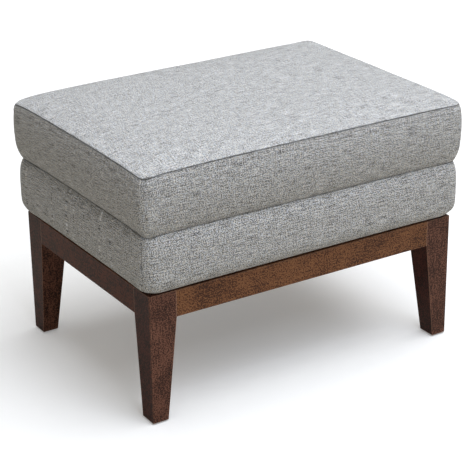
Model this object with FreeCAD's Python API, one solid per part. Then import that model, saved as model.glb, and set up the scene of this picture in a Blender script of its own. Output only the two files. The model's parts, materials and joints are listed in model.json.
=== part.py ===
import FreeCAD, Part
import math
import os

from FreeCAD import Vector

# Glider ottoman: a wooden base on four tapered legs, and an upholstered seat that hangs from it on four
# parallel swing links, so that it glides front to back. Millimetres, +Z up, +X along the long side.
# The origin is on the floor, under the middle of the base.

# Wooden base
base_length = 600.0
base_depth = 432.0
base_top = 227.0
leg_top_width = 49.0
leg_foot_length = 28.4
leg_foot_depth = 34.0
leg_edge_ease = 1.2
leg_inner_bevel = 11.0
apron_height = 46.0
apron_thickness = 22.0
apron_edge_ease = 0.8
tenon_length = 20.0
tenon_thickness = 8.0
tenon_shoulder = 6.0
tenon_setback = 7.0
stub_tenon_length = 10.0
joint_clearance = 0.1
glide_height = 3.0
glide_radius = 11.0
corner_block_thickness = 15.0
corner_block_height = 36.0
cross_rail_thickness = 20.0
cross_rail_height = 38.0
cross_rail_drop = 2.0

# Glide mechanism
mechanism_setback = 135.0
pivot_half_spacing = 92.0
upper_pivot_above_base = 55.0
link_length = 88.0
link_thickness = 5.0
link_eye_radius = 14.0
link_web_width = 17.0
swing_limit_deg = 25.0
bracket_thickness = 4.0
bracket_fillet = 9.0
base_strip_height = 26.0
base_strip_above_rail = 6.0
seat_strip_height = 26.0
seat_strip_past_eye = 12.0
seat_strip_above_rail = 5.0
pivot_bolt_radius = 5.0
pivot_head_across_flats = 15.0
pivot_head_height = 3.2
pivot_nut_across_flats = 16.0
pivot_nut_height = 7.0
pivot_bolt_end = 1.5
pivot_running_clearance = 0.05
pivot_side_clearance = 0.2
boss_radius = 7.0
boss_projection = 5.0
bolt_clearance = 0.1
bumper_radius = 8.0
bumper_gap = 0.4
same_place_within = 0.3

# Seat frame
seat_gap = 3.8
frame_outset = -2.0
frame_corner_radius = 19.0
frame_rail_thickness = 22.0
frame_rail_height = 90.0
mechanism_rail_thickness = 20.0
mechanism_rail_height = 70.0
rail_housing_depth = 6.0
glue_block_leg = 42.0
glue_block_margin = 6.0
webbing_width = 60.0
webbing_thickness = 1.5
webbing_lap = 16.0
lengthwise_straps = 3
crosswise_straps = 4
deck_cloth_thickness = 0.8

# Upholstery, as outsets from the wooden base's faces and heights above each form's foot
cloth_thickness = 1.2
layer_gap = 0.3
band_corner_setback = 21.0
band_foot_outset = 7.0
band_foot_roll_outset = 11.0
band_foot_roll_height = 15.0
band_foot_roll_bulge = 0.9
band_widest_outset = 12.2
band_widest_height = 44.0
band_top_roll_outset = 11.2
band_top_roll_height = 14.0
band_top_roll_bulge = 1.0
band_top_outset = 8.5
band_turn_under = 14.0
band_turn_over = 26.0
dust_cover_thickness = 0.5
dust_cover_lap = 6.0
cushion_corner_setback = 13.0
cushion_height = 106.7
cushion_foot_outset = 8.5
cushion_roll_outset = 14.4
cushion_roll_height = 27.0
cushion_roll_bulge = 1.4
cushion_widest_outset = 16.0
cushion_widest_height = 64.0
cushion_seam_outset = 13.2
crown_height = 9.0
crown_run = 110.0
foam_setback = 4.0
foam_below_seam = 9.0

# Places worked out from the sizes above
leg_corner_x = base_length / 2 - leg_top_width
leg_corner_y = base_depth / 2 - leg_top_width
apron_inner_x = base_length / 2 - apron_thickness
apron_inner_y = base_depth / 2 - apron_thickness
apron_bottom = base_top - apron_height
cross_rail_top = base_top - cross_rail_drop
cross_rail_bottom = cross_rail_top - cross_rail_height
block_middle_height = base_top - apron_height / 2
upper_pivot_height = base_top + upper_pivot_above_base
lower_pivot_height = upper_pivot_height - link_length
pivot_stand_off = boss_projection + pivot_side_clearance
mechanism_half_width = base_length / 2 - mechanism_setback
link_outer_face = mechanism_half_width + link_thickness / 2
link_inner_face = mechanism_half_width - link_thickness / 2
base_bracket_face = link_outer_face + pivot_stand_off
cross_rail_face = base_bracket_face + bracket_thickness
seat_bracket_face = link_inner_face - pivot_stand_off
mechanism_rail_face = seat_bracket_face - bracket_thickness
base_strip_bottom = cross_rail_bottom + base_strip_above_rail
swing_travel = link_length * math.sin(math.radians(swing_limit_deg))
swing_rise = link_length * (1 - math.cos(math.radians(swing_limit_deg)))
bumper_half_spacing = pivot_half_spacing + swing_travel + link_eye_radius + bumper_gap + bumper_radius
bumper_height = lower_pivot_height + swing_rise
base_strip_half_length = bumper_half_spacing + bumper_radius
seat_strip_half_length = pivot_half_spacing + link_eye_radius + seat_strip_past_eye
upholstery_bottom = base_top + seat_gap
frame_bottom = upholstery_bottom + cloth_thickness
frame_top = frame_bottom + frame_rail_height
frame_half_length = base_length / 2 + frame_outset
frame_half_depth = base_depth / 2 + frame_outset
frame_inner_x = frame_half_length - frame_rail_thickness
frame_inner_y = frame_half_depth - frame_rail_thickness
seat_strip_bottom = upholstery_bottom + seat_strip_above_rail
deck_bottom = frame_top + 2 * webbing_thickness
deck_top = deck_bottom + deck_cloth_thickness
band_top = deck_top + cloth_thickness
cushion_bottom = band_top + layer_gap
seam_height = cushion_bottom + cushion_height


def box(low, high):
    """Box between two opposite corners."""
    size = high - low
    return Part.makeBox(size.x, size.y, size.z, low)


def block(half_length, half_depth, bottom, top):
    """Box centred on the Z axis."""
    return box(Vector(-half_length, -half_depth, bottom), Vector(half_length, half_depth, top))


def mirror_x(shape):
    """Twin of a shape on the other side, across the plane X = 0."""
    return shape.mirror(Vector(0, 0, 0), Vector(1, 0, 0))


def mirror_y(shape):
    """Twin of a shape on the other side, across the plane Y = 0."""
    return shape.mirror(Vector(0, 0, 0), Vector(0, 1, 0))


def four_corners(shape):
    """Group of a shape and its twins in the other three corners."""
    pair = [shape, mirror_x(shape)]
    return Part.makeCompound(pair + [mirror_y(one) for one in pair])


def both_sides(shapes):
    """Group of some shapes and their twins across the plane X = 0."""
    return Part.makeCompound(shapes + [mirror_x(one) for one in shapes])


def cylinder(radius, start, end):
    """Round bar from one point to another."""
    run = end - start
    return Part.makeCylinder(radius, run.Length, start, run)


def prism(points, run):
    """Solid swept along run from the closed outline through the points."""
    outline = Part.makePolygon(points + [points[0]])
    return Part.Face(outline).extrude(run)


def eased(shape, size, picks):
    """Shape with a small chamfer on each edge that picks accepts."""
    return shape.makeChamfer(size, [edge for edge in shape.Edges if picks(edge)])


def hex_prism(across_flats, height, seat, axis):
    """Hexagonal prism that stands on seat along axis."""
    across_corners = across_flats / math.cos(math.pi / 6)
    points = []
    for side in range(6):
        angle = side * math.pi / 3
        points.append(Vector(math.cos(angle), math.sin(angle), 0) * (across_corners / 2))
    shape = prism(points, Vector(0, 0, height))
    shape.Placement = FreeCAD.Placement(seat, FreeCAD.Rotation(Vector(0, 0, 1), axis))
    return shape


def hex_nut(across_flats, height, bolt_radius, seat, axis):
    """Hexagon nut that stands on seat along axis, with its bore clear of the thread."""
    shape = hex_prism(across_flats, height, seat, axis)
    return shape.cut(cylinder(bolt_radius + bolt_clearance, seat, seat + axis * height))


def leg():
    """Front left leg: a square post whose two inner faces taper below the aprons."""
    corner = Vector(-base_length / 2, -base_depth / 2, glide_height)
    shape = box(corner, Vector(-leg_corner_x, -leg_corner_y, base_top))
    shape = shape.cut(taper_waste(leg_foot_length, Vector(1, 0, 0), Vector(0, leg_top_width, 0)))
    shape = shape.cut(taper_waste(leg_foot_depth, Vector(0, 1, 0), Vector(leg_top_width, 0, 0)))
    shape = eased(shape, leg_edge_ease, is_outer_corner)
    for cut in (leg_bevel(), front_tenon(joint_clearance), left_tenon(joint_clearance)):
        shape = shape.cut(cut)
    return shape


def taper_waste(foot_width, direction, run):
    """Wedge cut from an inner face of the front left leg; its foot is foot_width wide along direction."""
    corner = Vector(-base_length / 2, -base_depth / 2, glide_height)
    points = [corner + direction * foot_width, corner + direction * leg_top_width]
    points.append(points[1] + Vector(0, 0, apron_bottom - glide_height))
    return prism(points, run)


def is_outer_corner(edge):
    """True for the upright edge on the front left corner of the base."""
    middle = edge.CenterOfMass
    offset = max(abs(middle.x + base_length / 2), abs(middle.y + base_depth / 2))
    return offset < same_place_within


def leg_bevel():
    """Waste cut from the inner corner of the front left leg, where the corner block bears."""
    inner = Vector(-leg_corner_x, -leg_corner_y, apron_bottom)
    cut = leg_inner_bevel / math.sqrt(2)
    points = [inner, inner - Vector(cut, 0, 0), inner - Vector(0, cut, 0)]
    return prism(points, Vector(0, 0, apron_height))


def front_tenon(clearance):
    """Tenon of the front apron in the front left leg, or its mortise where clearance is given."""
    face = -base_depth / 2 + tenon_setback
    low = Vector(-leg_corner_x - tenon_length, face, apron_bottom + tenon_shoulder)
    high = Vector(-leg_corner_x, face + tenon_thickness, base_top - tenon_shoulder)
    return grown(low, high, clearance, Vector(1, 0, 0))


def left_tenon(clearance):
    """Tenon of the left apron in the front left leg, or its mortise where clearance is given."""
    face = -base_length / 2 + tenon_setback
    low = Vector(face, -leg_corner_y - tenon_length, apron_bottom + tenon_shoulder)
    high = Vector(face + tenon_thickness, -leg_corner_y, base_top - tenon_shoulder)
    return grown(low, high, clearance, Vector(0, 1, 0))


def grown(low, high, clearance, shoulder_side):
    """Box between two corners, larger by clearance on every face but the one on its shoulder side."""
    margin = Vector(clearance, clearance, clearance)
    return box(low - margin, high + margin - shoulder_side * clearance)


def stub_tenon(clearance):
    """Stub tenon of the right cross rail in the front apron, or its mortise where clearance is given."""
    face = cross_rail_face + (cross_rail_thickness - tenon_thickness) / 2
    low = Vector(face, -apron_inner_y - stub_tenon_length, cross_rail_bottom + tenon_shoulder)
    high = Vector(face + tenon_thickness, -apron_inner_y, cross_rail_top - tenon_shoulder)
    return grown(low, high, clearance, Vector(0, 1, 0))


def apron_front():
    """Front apron, flush with the legs' faces, tenoned into them."""
    shape = box(
        Vector(-leg_corner_x, -base_depth / 2, apron_bottom),
        Vector(leg_corner_x, -apron_inner_y, base_top),
    )
    shape = eased(shape, apron_edge_ease, lambda edge: edge.BoundBox.XLength > leg_corner_x)
    for tenon in (front_tenon(0), mirror_x(front_tenon(0))):
        shape = shape.fuse(tenon)
    for mortise in (stub_tenon(joint_clearance), mirror_x(stub_tenon(joint_clearance))):
        shape = shape.cut(mortise)
    return shape.removeSplitter()


def apron_left():
    """Left apron, flush with the legs' faces, tenoned into them."""
    shape = box(
        Vector(-base_length / 2, -leg_corner_y, apron_bottom),
        Vector(-apron_inner_x, leg_corner_y, base_top),
    )
    shape = eased(shape, apron_edge_ease, lambda edge: edge.BoundBox.YLength > leg_corner_y)
    for tenon in (left_tenon(0), mirror_y(left_tenon(0))):
        shape = shape.fuse(tenon)
    return shape.removeSplitter()


def leg_glide():
    """Nylon glide disc under the front left leg."""
    foot = Vector(-base_length / 2 + leg_foot_length / 2, -base_depth / 2 + leg_foot_depth / 2, 0)
    return cylinder(glide_radius, foot, foot + Vector(0, 0, glide_height))


def corner_block():
    """Mitred block across the front left corner, between the inner faces of the two aprons."""
    near = 2 * (leg_top_width - apron_thickness) - leg_inner_bevel / math.sqrt(2)
    far = near + corner_block_thickness * math.sqrt(2)
    corner = Vector(-apron_inner_x, -apron_inner_y, block_middle_height - corner_block_height / 2)
    points = [corner + Vector(near, 0, 0), corner + Vector(far, 0, 0)]
    points += [corner + Vector(0, far, 0), corner + Vector(0, near, 0)]
    return prism(points, Vector(0, 0, corner_block_height))


def cross_rail():
    """Right cross rail of the base, front to back, which carries the base bracket."""
    shape = box(
        Vector(cross_rail_face, -apron_inner_y, cross_rail_bottom),
        Vector(cross_rail_face + cross_rail_thickness, apron_inner_y, cross_rail_top),
    )
    for tenon in (stub_tenon(0), mirror_y(stub_tenon(0))):
        shape = shape.fuse(tenon)
    return shape.removeSplitter()


def bumper_places():
    """Points on the right base bracket's inner face, on the axes of the bumpers."""
    return [Vector(base_bracket_face, side * bumper_half_spacing, bumper_height) for side in (-1, 1)]


def bracket_plate(face, thickness, strip_bottom, strip_top, strip_half_length, pivot_height):
    """Flat steel bracket: a strip along the rail with two rounded arms bored at the pivots."""
    run = Vector(thickness, 0, 0)
    low = min(pivot_height, strip_bottom)
    high = max(pivot_height, strip_top)
    shape = box(
        Vector(face, -strip_half_length, strip_bottom),
        Vector(face + thickness, strip_half_length, strip_top),
    )
    for pivot in pivot_points(pivot_height, face):
        arm = box(
            Vector(face, pivot.y - link_eye_radius, low),
            Vector(face + thickness, pivot.y + link_eye_radius, high),
        )
        shape = shape.fuse(arm).fuse(cylinder(link_eye_radius, pivot, pivot + run))
    shape = shape.removeSplitter()
    junction = strip_top if pivot_height > strip_top else strip_bottom
    shape = shape.makeFillet(bracket_fillet, [edge for edge in shape.Edges if is_arm_root(edge, junction)])
    for pivot in pivot_points(pivot_height, face):
        shape = shape.cut(cylinder(pivot_bolt_radius + bolt_clearance, pivot, pivot + run))
    return shape


def is_arm_root(edge, height):
    """True for the short edges where a bracket's arm meets its strip."""
    start = edge.Vertexes[0].Point
    offset = abs(abs(start.y) - pivot_half_spacing)
    extent = max(edge.BoundBox.YLength, edge.BoundBox.ZLength)
    distance = max(abs(start.z - height), abs(offset - link_eye_radius))
    return max(extent, distance) < same_place_within


def pivot_points(height, face):
    """Front and rear pivot points of the right side, at a height and on a face."""
    return [Vector(face, side * pivot_half_spacing, height) for side in (-1, 1)]


def base_bracket():
    """Right base bracket, fixed to the cross rail, with arms that rise to the upper pivots."""
    return bracket_plate(
        base_bracket_face,
        bracket_thickness,
        base_strip_bottom,
        base_strip_bottom + base_strip_height,
        base_strip_half_length,
        upper_pivot_height,
    )


def seat_bracket():
    """Right seat bracket, fixed to the mechanism rail, with arms that hang to the lower pivots."""
    return bracket_plate(
        mechanism_rail_face,
        bracket_thickness,
        seat_strip_bottom,
        seat_strip_bottom + seat_strip_height,
        seat_strip_half_length,
        lower_pivot_height,
    )


def link():
    """Front right swing link: a straight steel bar with a bored eye and a boss at each pivot."""
    upper, lower = link_pivots()
    half_run = Vector(link_thickness / 2, 0, 0)
    half_web = half_run + Vector(0, link_web_width / 2, 0)
    shape = box(lower - half_web, upper + half_web)
    for pivot, boss_side in ((upper, 1), (lower, -1)):
        boss_end = pivot + Vector(boss_side * (link_thickness / 2 + boss_projection), 0, 0)
        shape = shape.fuse(cylinder(link_eye_radius, pivot - half_run, pivot + half_run))
        shape = shape.fuse(cylinder(boss_radius, pivot, boss_end))
    shape = shape.removeSplitter()
    reach = Vector(link_thickness + boss_projection, 0, 0)
    for pivot in (upper, lower):
        bore = cylinder(pivot_bolt_radius + pivot_running_clearance, pivot - reach, pivot + reach)
        shape = shape.cut(bore)
    return shape


def link_pivots():
    """Upper and lower pivot points of the front right link, in its middle plane."""
    heights = (upper_pivot_height, lower_pivot_height)
    return [Vector(mechanism_half_width, -pivot_half_spacing, height) for height in heights]


def pivot_bolt(head_face, along):
    """Bolt through a link, its boss, the bracket and the nut; its head lies on head_face."""
    length = pivot_side_clearance + link_thickness + pivot_stand_off
    length += bracket_thickness + pivot_nut_height + pivot_bolt_end
    head = hex_prism(pivot_head_across_flats, pivot_head_height, head_face, -along)
    return head.fuse(cylinder(pivot_bolt_radius, head_face, head_face + along * length))


def pivot_nut(seat, along):
    """Nut of a pivot bolt, on the far face of the bracket."""
    return hex_nut(pivot_nut_across_flats, pivot_nut_height, pivot_bolt_radius, seat, along)


def upper_pivot_bolts():
    """Upper pivot bolts, headed on the inner side of the links."""
    places = pivot_points(upper_pivot_height, link_inner_face - pivot_side_clearance)
    return both_sides([pivot_bolt(place, Vector(1, 0, 0)) for place in places])


def lower_pivot_bolts():
    """Lower pivot bolts, headed on the outer side of the links."""
    places = pivot_points(lower_pivot_height, link_outer_face + pivot_side_clearance)
    return both_sides([pivot_bolt(place, Vector(-1, 0, 0)) for place in places])


def upper_pivot_nuts():
    """Nuts of the upper pivot bolts, on the base brackets."""
    places = pivot_points(upper_pivot_height, cross_rail_face)
    return both_sides([pivot_nut(place, Vector(1, 0, 0)) for place in places])


def lower_pivot_nuts():
    """Nuts of the lower pivot bolts, on the seat brackets."""
    places = pivot_points(lower_pivot_height, mechanism_rail_face)
    return both_sides([pivot_nut(place, Vector(-1, 0, 0)) for place in places])


def stop_bumpers():
    """Rubber bumpers on the ends of the base brackets, where the links' eyes stop."""
    run = Vector(mechanism_rail_face - base_bracket_face, 0, 0)
    return both_sides([cylinder(bumper_radius, place, place + run) for place in bumper_places()])


def mechanism_rail():
    """Right mechanism rail, housed in the seat's front and rear rails, which carries the seat bracket."""
    half_depth = frame_inner_y + rail_housing_depth
    shape = box(
        Vector(mechanism_rail_face - mechanism_rail_thickness, -half_depth, upholstery_bottom),
        Vector(mechanism_rail_face, half_depth, upholstery_bottom + mechanism_rail_height),
    )
    below_frame = block(base_length, half_depth, upholstery_bottom, frame_bottom)
    return shape.cut(below_frame.cut(block(base_length, frame_inner_y, upholstery_bottom, frame_bottom)))


def rail_housing():
    """Housing for the right mechanism rail in the front rail."""
    inner_face = mechanism_rail_face - mechanism_rail_thickness
    low = Vector(inner_face, -frame_inner_y - rail_housing_depth, frame_bottom)
    high = Vector(mechanism_rail_face, -frame_inner_y, upholstery_bottom + mechanism_rail_height)
    return box(low, high)


def seat_rail_front():
    """Front rail of the seat frame, as long as the frame, with its ends rounded in plan."""
    shape = box(
        Vector(-frame_half_length, -frame_half_depth, frame_bottom),
        Vector(frame_half_length, -frame_inner_y, frame_top),
    ).common(frame_prism(0, frame_bottom, frame_top))
    return shape.cut(rail_housing()).cut(mirror_x(rail_housing()))


def seat_rail_right():
    """Right end rail of the seat frame, between the front and rear rails."""
    return box(
        Vector(frame_inner_x, -frame_inner_y, frame_bottom),
        Vector(frame_half_length, frame_inner_y, frame_top),
    )


def glue_block():
    """Triangular block in the inner corner of the seat frame, front left."""
    corner = Vector(-frame_inner_x, -frame_inner_y, frame_bottom + glue_block_margin)
    points = [corner, corner + Vector(glue_block_leg, 0, 0), corner + Vector(0, glue_block_leg, 0)]
    return prism(points, Vector(0, 0, frame_rail_height - 2 * glue_block_margin))


def strap_places(count, half_opening):
    """Even places for the middles of the straps across an opening."""
    pitch = 2 * half_opening / count
    return [-half_opening + pitch * (index + 0.5) for index in range(count)]


def woven_strap(half_length, crossings, place, first_over, across):
    """Flat strap that goes over and under the straps it crosses; across is the unit vector of its width."""
    along = Vector(across.y, across.x, 0)
    half_crossing = webbing_width / 2 + webbing_thickness
    stations = [(-half_length, 0)]
    for index, crossing in enumerate(crossings):
        lift = webbing_thickness if (index % 2 == 0) == first_over else 0
        stations += [(crossing - half_crossing, lift), (crossing + half_crossing, lift)]
    stations.append((half_length, 0))
    edge = across * (place - webbing_width / 2)
    lower = [along * station + edge + Vector(0, 0, frame_top + lift) for station, lift in stations]
    upper = [point + Vector(0, 0, webbing_thickness) for point in reversed(lower)]
    return prism(lower + upper, across * webbing_width)


def webbing_lengthwise():
    """Straps from end rail to end rail."""
    straps = []
    for index, place in enumerate(strap_places(lengthwise_straps, frame_inner_y)):
        crossings = strap_places(crosswise_straps, frame_inner_x)
        half_length = frame_inner_x + webbing_lap
        straps.append(woven_strap(half_length, crossings, place, index % 2 == 0, Vector(0, 1, 0)))
    return Part.makeCompound(straps)


def webbing_crosswise():
    """Straps from front rail to rear rail, woven through the lengthwise ones."""
    straps = []
    for index, place in enumerate(strap_places(crosswise_straps, frame_inner_x)):
        crossings = strap_places(lengthwise_straps, frame_inner_y)
        half_length = frame_inner_y + webbing_lap
        straps.append(woven_strap(half_length, crossings, place, index % 2 == 1, Vector(1, 0, 0)))
    return Part.makeCompound(straps)


def rounded_rectangle(half_length, half_depth, radius, height):
    """Level closed wire of four lines and four quarter arcs, centred on the Z axis."""
    edges = []
    quarter_middle = Vector(math.cos(math.pi / 4), math.sin(math.pi / 4), 0)
    turns = [FreeCAD.Rotation(Vector(0, 0, 1), 90 * quarter) for quarter in range(4)]
    centres = [
        Vector(half_length - radius, half_depth - radius, height),
        Vector(radius - half_length, half_depth - radius, height),
        Vector(radius - half_length, radius - half_depth, height),
        Vector(half_length - radius, radius - half_depth, height),
    ]
    ends = []
    for centre, turn in zip(centres, turns):
        start = centre + turn.multVec(Vector(radius, 0, 0))
        middle = centre + turn.multVec(quarter_middle * radius)
        end = centre + turn.multVec(Vector(0, radius, 0))
        ends.append((start, middle, end))
    for index, (start, middle, end) in enumerate(ends):
        following = ends[(index + 1) % len(ends)][0]
        edges.append(Part.Arc(start, middle, end).toShape())
        edges.append(Part.LineSegment(end, following).toShape())
    return Part.Wire(edges)


def curve_edges(curve, shift, side):
    """Edges of an upright curve of lines and arcs in the XZ plane, moved out by shift on the given side."""
    edges = []
    for points in curve:
        places = [Vector(side * (shift + out), 0, height) for out, height in points]
        shape = Part.Arc(*places) if len(places) == 3 else Part.LineSegment(*places)
        edges.append(shape.toShape())
    return edges


def line_between(start, end):
    """Straight edge in the XZ plane between two (x, z) points."""
    return Part.LineSegment(Vector(start[0], 0, start[1]), Vector(end[0], 0, end[1])).toShape()


def double_face(curve, shift):
    """Upright face between a curve and its mirror image."""
    out_low, low = curve[0][0]
    out_high, high = curve[-1][-1]
    edges = curve_edges(curve, shift, 1) + curve_edges(curve, shift, -1)
    edges.append(line_between((-shift - out_low, low), (shift + out_low, low)))
    if shift + out_high > 0:
        edges.append(line_between((-shift - out_high, high), (shift + out_high, high)))
    return Part.Face(Part.Wire(Part.__sortEdges__(edges)))


def corner_post(curve):
    """Quarter of a round post whose side follows the curve, between the +X and +Y directions."""
    out_low, low = curve[0][0]
    out_high, high = curve[-1][-1]
    edges = curve_edges(curve, 0, 1)
    edges += [line_between((0, low), (out_low, low)), line_between((0, low), (0, high))]
    if out_high > 0:
        edges.append(line_between((0, high), (out_high, high)))
    face = Part.Face(Part.Wire(Part.__sortEdges__(edges)))
    return face.revolve(Vector(0, 0, 0), Vector(0, 0, 1), 90)


def slab_across(curve, half_width, half_run, along_x):
    """Slab with the curve on its two long sides, run along X or Y."""
    slab = double_face(curve, half_width).extrude(Vector(0, 2 * half_run, 0))
    slab.translate(Vector(0, -half_run, 0))
    if along_x:
        slab.rotate(Vector(0, 0, 0), Vector(0, 0, 1), 90)
    return slab


def with_posts(shape, post, half_length, half_depth):
    """Shape joined with a quarter post at each of its four corners."""
    for quarter, (side_x, side_y) in enumerate(((1, 1), (-1, 1), (-1, -1), (1, -1))):
        placed = post.copy()
        placed.rotate(Vector(0, 0, 0), Vector(0, 0, 1), 90 * quarter)
        placed.translate(Vector(side_x * half_length, side_y * half_depth, 0))
        shape = shape.fuse(placed)
    return shape


def padded_block(curve, setback):
    """Block whose sides follow the curve all the way round, its corners centred setback from the base's."""
    half_length = base_length / 2 - setback
    half_depth = base_depth / 2 - setback
    shape = slab_across(curve, half_depth, half_length, True)
    shape = shape.fuse(slab_across(curve, half_length, half_depth, False))
    return with_posts(shape, corner_post(curve), half_length, half_depth).removeSplitter()


def rolled(start, end, bulge, inset):
    """Arc from start to end that stands out by bulge, as three points, or its chord on a hidden layer."""
    middle = ((start[0] + end[0]) / 2 + bulge, (start[1] + end[1]) / 2)
    return [start, end] if inset else [start, middle, end]


def swelling(start, middle, end, inset):
    """Arc through three points as a list of runs, or its two chords on a hidden layer."""
    return [[start, middle], [middle, end]] if inset else [[start, middle, end]]


def band_form(inset):
    """Solid of the padded band's outer form, drawn in by inset."""
    out = band_corner_setback - inset
    foot = (out + band_foot_outset, upholstery_bottom)
    foot_roll = (out + band_foot_roll_outset, upholstery_bottom + band_foot_roll_height)
    widest = (out + band_widest_outset, upholstery_bottom + band_widest_height)
    top_roll = (out + band_top_roll_outset, band_top - band_top_roll_height)
    top = (out + band_top_outset, band_top)
    curve = [rolled(foot, foot_roll, band_foot_roll_bulge, inset)]
    curve += swelling(foot_roll, widest, top_roll, inset)
    curve.append(rolled(top_roll, top, band_top_roll_bulge, inset))
    return padded_block(curve, band_corner_setback)


def level_slab(bottom, top):
    """Level slab wider than the part, between two heights."""
    return block(base_length, base_depth, bottom, top)


def frame_prism(outset, bottom, top):
    """Prism of the seat frame's outline, moved out by outset, between two heights."""
    outline = rounded_rectangle(
        frame_half_length + outset,
        frame_half_depth + outset,
        frame_corner_radius,
        bottom,
    )
    return Part.Face(outline).extrude(Vector(0, 0, top - bottom))


def band_cover():
    """Cloth of the band: turned under the frame below and over the deck above."""
    inner = band_form(cloth_thickness).common(level_slab(frame_bottom, deck_top))
    shape = band_form(0).cut(inner)
    shape = shape.cut(frame_prism(-band_turn_under, upholstery_bottom, frame_bottom))
    return shape.cut(frame_prism(-band_turn_over, deck_top, band_top))


def band_padding():
    """Padding round the outer faces of the seat frame."""
    shape = band_form(cloth_thickness + layer_gap).common(level_slab(frame_bottom, deck_bottom))
    return shape.cut(frame_prism(0, frame_bottom, deck_bottom))


def deck_cloth():
    """Cloth over the webbing, as large as the seat frame."""
    return frame_prism(0, deck_bottom, deck_top)


def dust_cover():
    """Thin cloth under the seat frame between the mechanism rails."""
    half_length = mechanism_rail_face - mechanism_rail_thickness / 2
    half_depth = frame_half_depth - band_turn_under + dust_cover_lap
    return block(half_length, half_depth, upholstery_bottom - dust_cover_thickness, upholstery_bottom)


def cushion_sides(inset):
    """Solid of the boxed cushion below its seam, drawn in by inset, with sides drawn in over their foot."""
    out = cushion_corner_setback - inset
    low = cushion_bottom + inset
    foot = (out + cushion_foot_outset, low)
    roll = (out + cushion_roll_outset, low + cushion_roll_height)
    widest = (out + cushion_widest_outset, low + cushion_widest_height)
    seam = (out + cushion_seam_outset, seam_height - inset)
    curve = [rolled(foot, roll, cushion_roll_bulge, inset)] + swelling(roll, widest, seam, inset)
    return padded_block(curve, cushion_corner_setback)


def crown_curve(inset, run):
    """Arc of the crown from the seam inwards over run, as points out from the corner centres."""
    radius = (crown_run**2 + crown_height**2) / (2 * crown_height)
    out = cushion_corner_setback - inset + cushion_seam_outset
    low = seam_height - inset
    points = []
    for along in (0, run / 2, run):
        drop = radius - math.sqrt(radius**2 - (crown_run - along) ** 2)
        points.append((out - along, low + crown_height - drop))
    return swelling(*points, inset)


def crown(inset):
    """Crowned top of the cushion above its seam, drawn in by inset: arcs that rise to a flat middle."""
    half_length = base_length / 2 - cushion_corner_setback
    half_depth = base_depth / 2 - cushion_corner_setback
    out = cushion_corner_setback - inset + cushion_seam_outset
    whole = crown_curve(inset, crown_run)
    over_depth = slab_across(whole, half_depth, half_length + out, True)
    over_length = slab_across(whole, half_length, half_depth + out, False)
    low = seam_height - inset
    high = low + 2 * crown_height
    cross = block(half_length + out, half_depth, low, high)
    cross = cross.fuse(block(half_length, half_depth + out, low, high))
    shape = over_depth.common(over_length).common(cross)
    return with_posts(shape, corner_post(crown_curve(inset, out)), half_length, half_depth).removeSplitter()


def cushion_form(inset):
    """Whole solid of the boxed cushion, drawn in by inset."""
    return cushion_sides(inset).fuse(crown(inset)).removeSplitter()


def cushion_cover():
    """Whole cover of the cushion, as one hollow skin."""
    return cushion_form(0).cut(cushion_form(cloth_thickness))


def cushion_top_panel():
    """Top panel of the cushion's cover, above the top seam."""
    return cushion_cover().common(level_slab(seam_height, seam_height + 2 * crown_height))


def cushion_boxing():
    """Boxing strip of the cushion's cover, between the top seam and the bottom panel."""
    return cushion_cover().common(level_slab(cushion_bottom + cloth_thickness, seam_height))


def cushion_bottom_panel():
    """Bottom panel of the cushion's cover, on the deck."""
    return cushion_cover().common(level_slab(cushion_bottom, cushion_bottom + cloth_thickness))


def cushion_foam():
    """Foam core of the cushion: a plain block that stands on the bottom panel."""
    bottom = cushion_bottom + cloth_thickness + layer_gap
    half_length = base_length / 2 - foam_setback
    half_depth = base_depth / 2 - foam_setback
    return block(half_length, half_depth, bottom, seam_height - foam_below_seam)


def cushion_wadding():
    """Wadding between the foam and the cover, over the foam's top and sides."""
    return cushion_form(cloth_thickness + layer_gap).cut(cushion_foam())


def base_pieces():
    """Wooden base and its fasteners, by name."""
    front_leg = leg()
    front_apron = apron_front()
    side_apron = apron_left()
    rail = cross_rail()
    return {
        "leg_front_left": front_leg,
        "leg_front_right": mirror_x(front_leg),
        "leg_rear_left": mirror_y(front_leg),
        "leg_rear_right": mirror_x(mirror_y(front_leg)),
        "leg_glides": four_corners(leg_glide()),
        "apron_front": front_apron,
        "apron_rear": mirror_y(front_apron),
        "apron_left": side_apron,
        "apron_right": mirror_x(side_apron),
        "base_corner_blocks": four_corners(corner_block()),
        "cross_rail_left": mirror_x(rail),
        "cross_rail_right": rail,
    }


def mechanism_pieces():
    """Glide mechanism, by name."""
    bracket = base_bracket()
    hanger = seat_bracket()
    front_link = link()
    return {
        "base_bracket_left": mirror_x(bracket),
        "base_bracket_right": bracket,
        "stop_bumpers": stop_bumpers(),
        "upper_pivot_bolts": upper_pivot_bolts(),
        "upper_pivot_nuts": upper_pivot_nuts(),
        "link_front_left": mirror_x(front_link),
        "link_front_right": front_link,
        "link_rear_left": mirror_x(mirror_y(front_link)),
        "link_rear_right": mirror_y(front_link),
        "seat_bracket_left": mirror_x(hanger),
        "seat_bracket_right": hanger,
        "lower_pivot_bolts": lower_pivot_bolts(),
        "lower_pivot_nuts": lower_pivot_nuts(),
    }


def seat_pieces():
    """Seat frame, webbing and cloths under the upholstery, by name."""
    rail = mechanism_rail()
    front_rail = seat_rail_front()
    right_rail = seat_rail_right()
    return {
        "mechanism_rail_left": mirror_x(rail),
        "mechanism_rail_right": rail,
        "seat_rail_front": front_rail,
        "seat_rail_rear": mirror_y(front_rail),
        "seat_rail_left": mirror_x(right_rail),
        "seat_rail_right": right_rail,
        "seat_glue_blocks": four_corners(glue_block()),
        "webbing_lengthwise": webbing_lengthwise(),
        "webbing_crosswise": webbing_crosswise(),
        "deck_cloth": deck_cloth(),
        "dust_cover": dust_cover(),
    }


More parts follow.
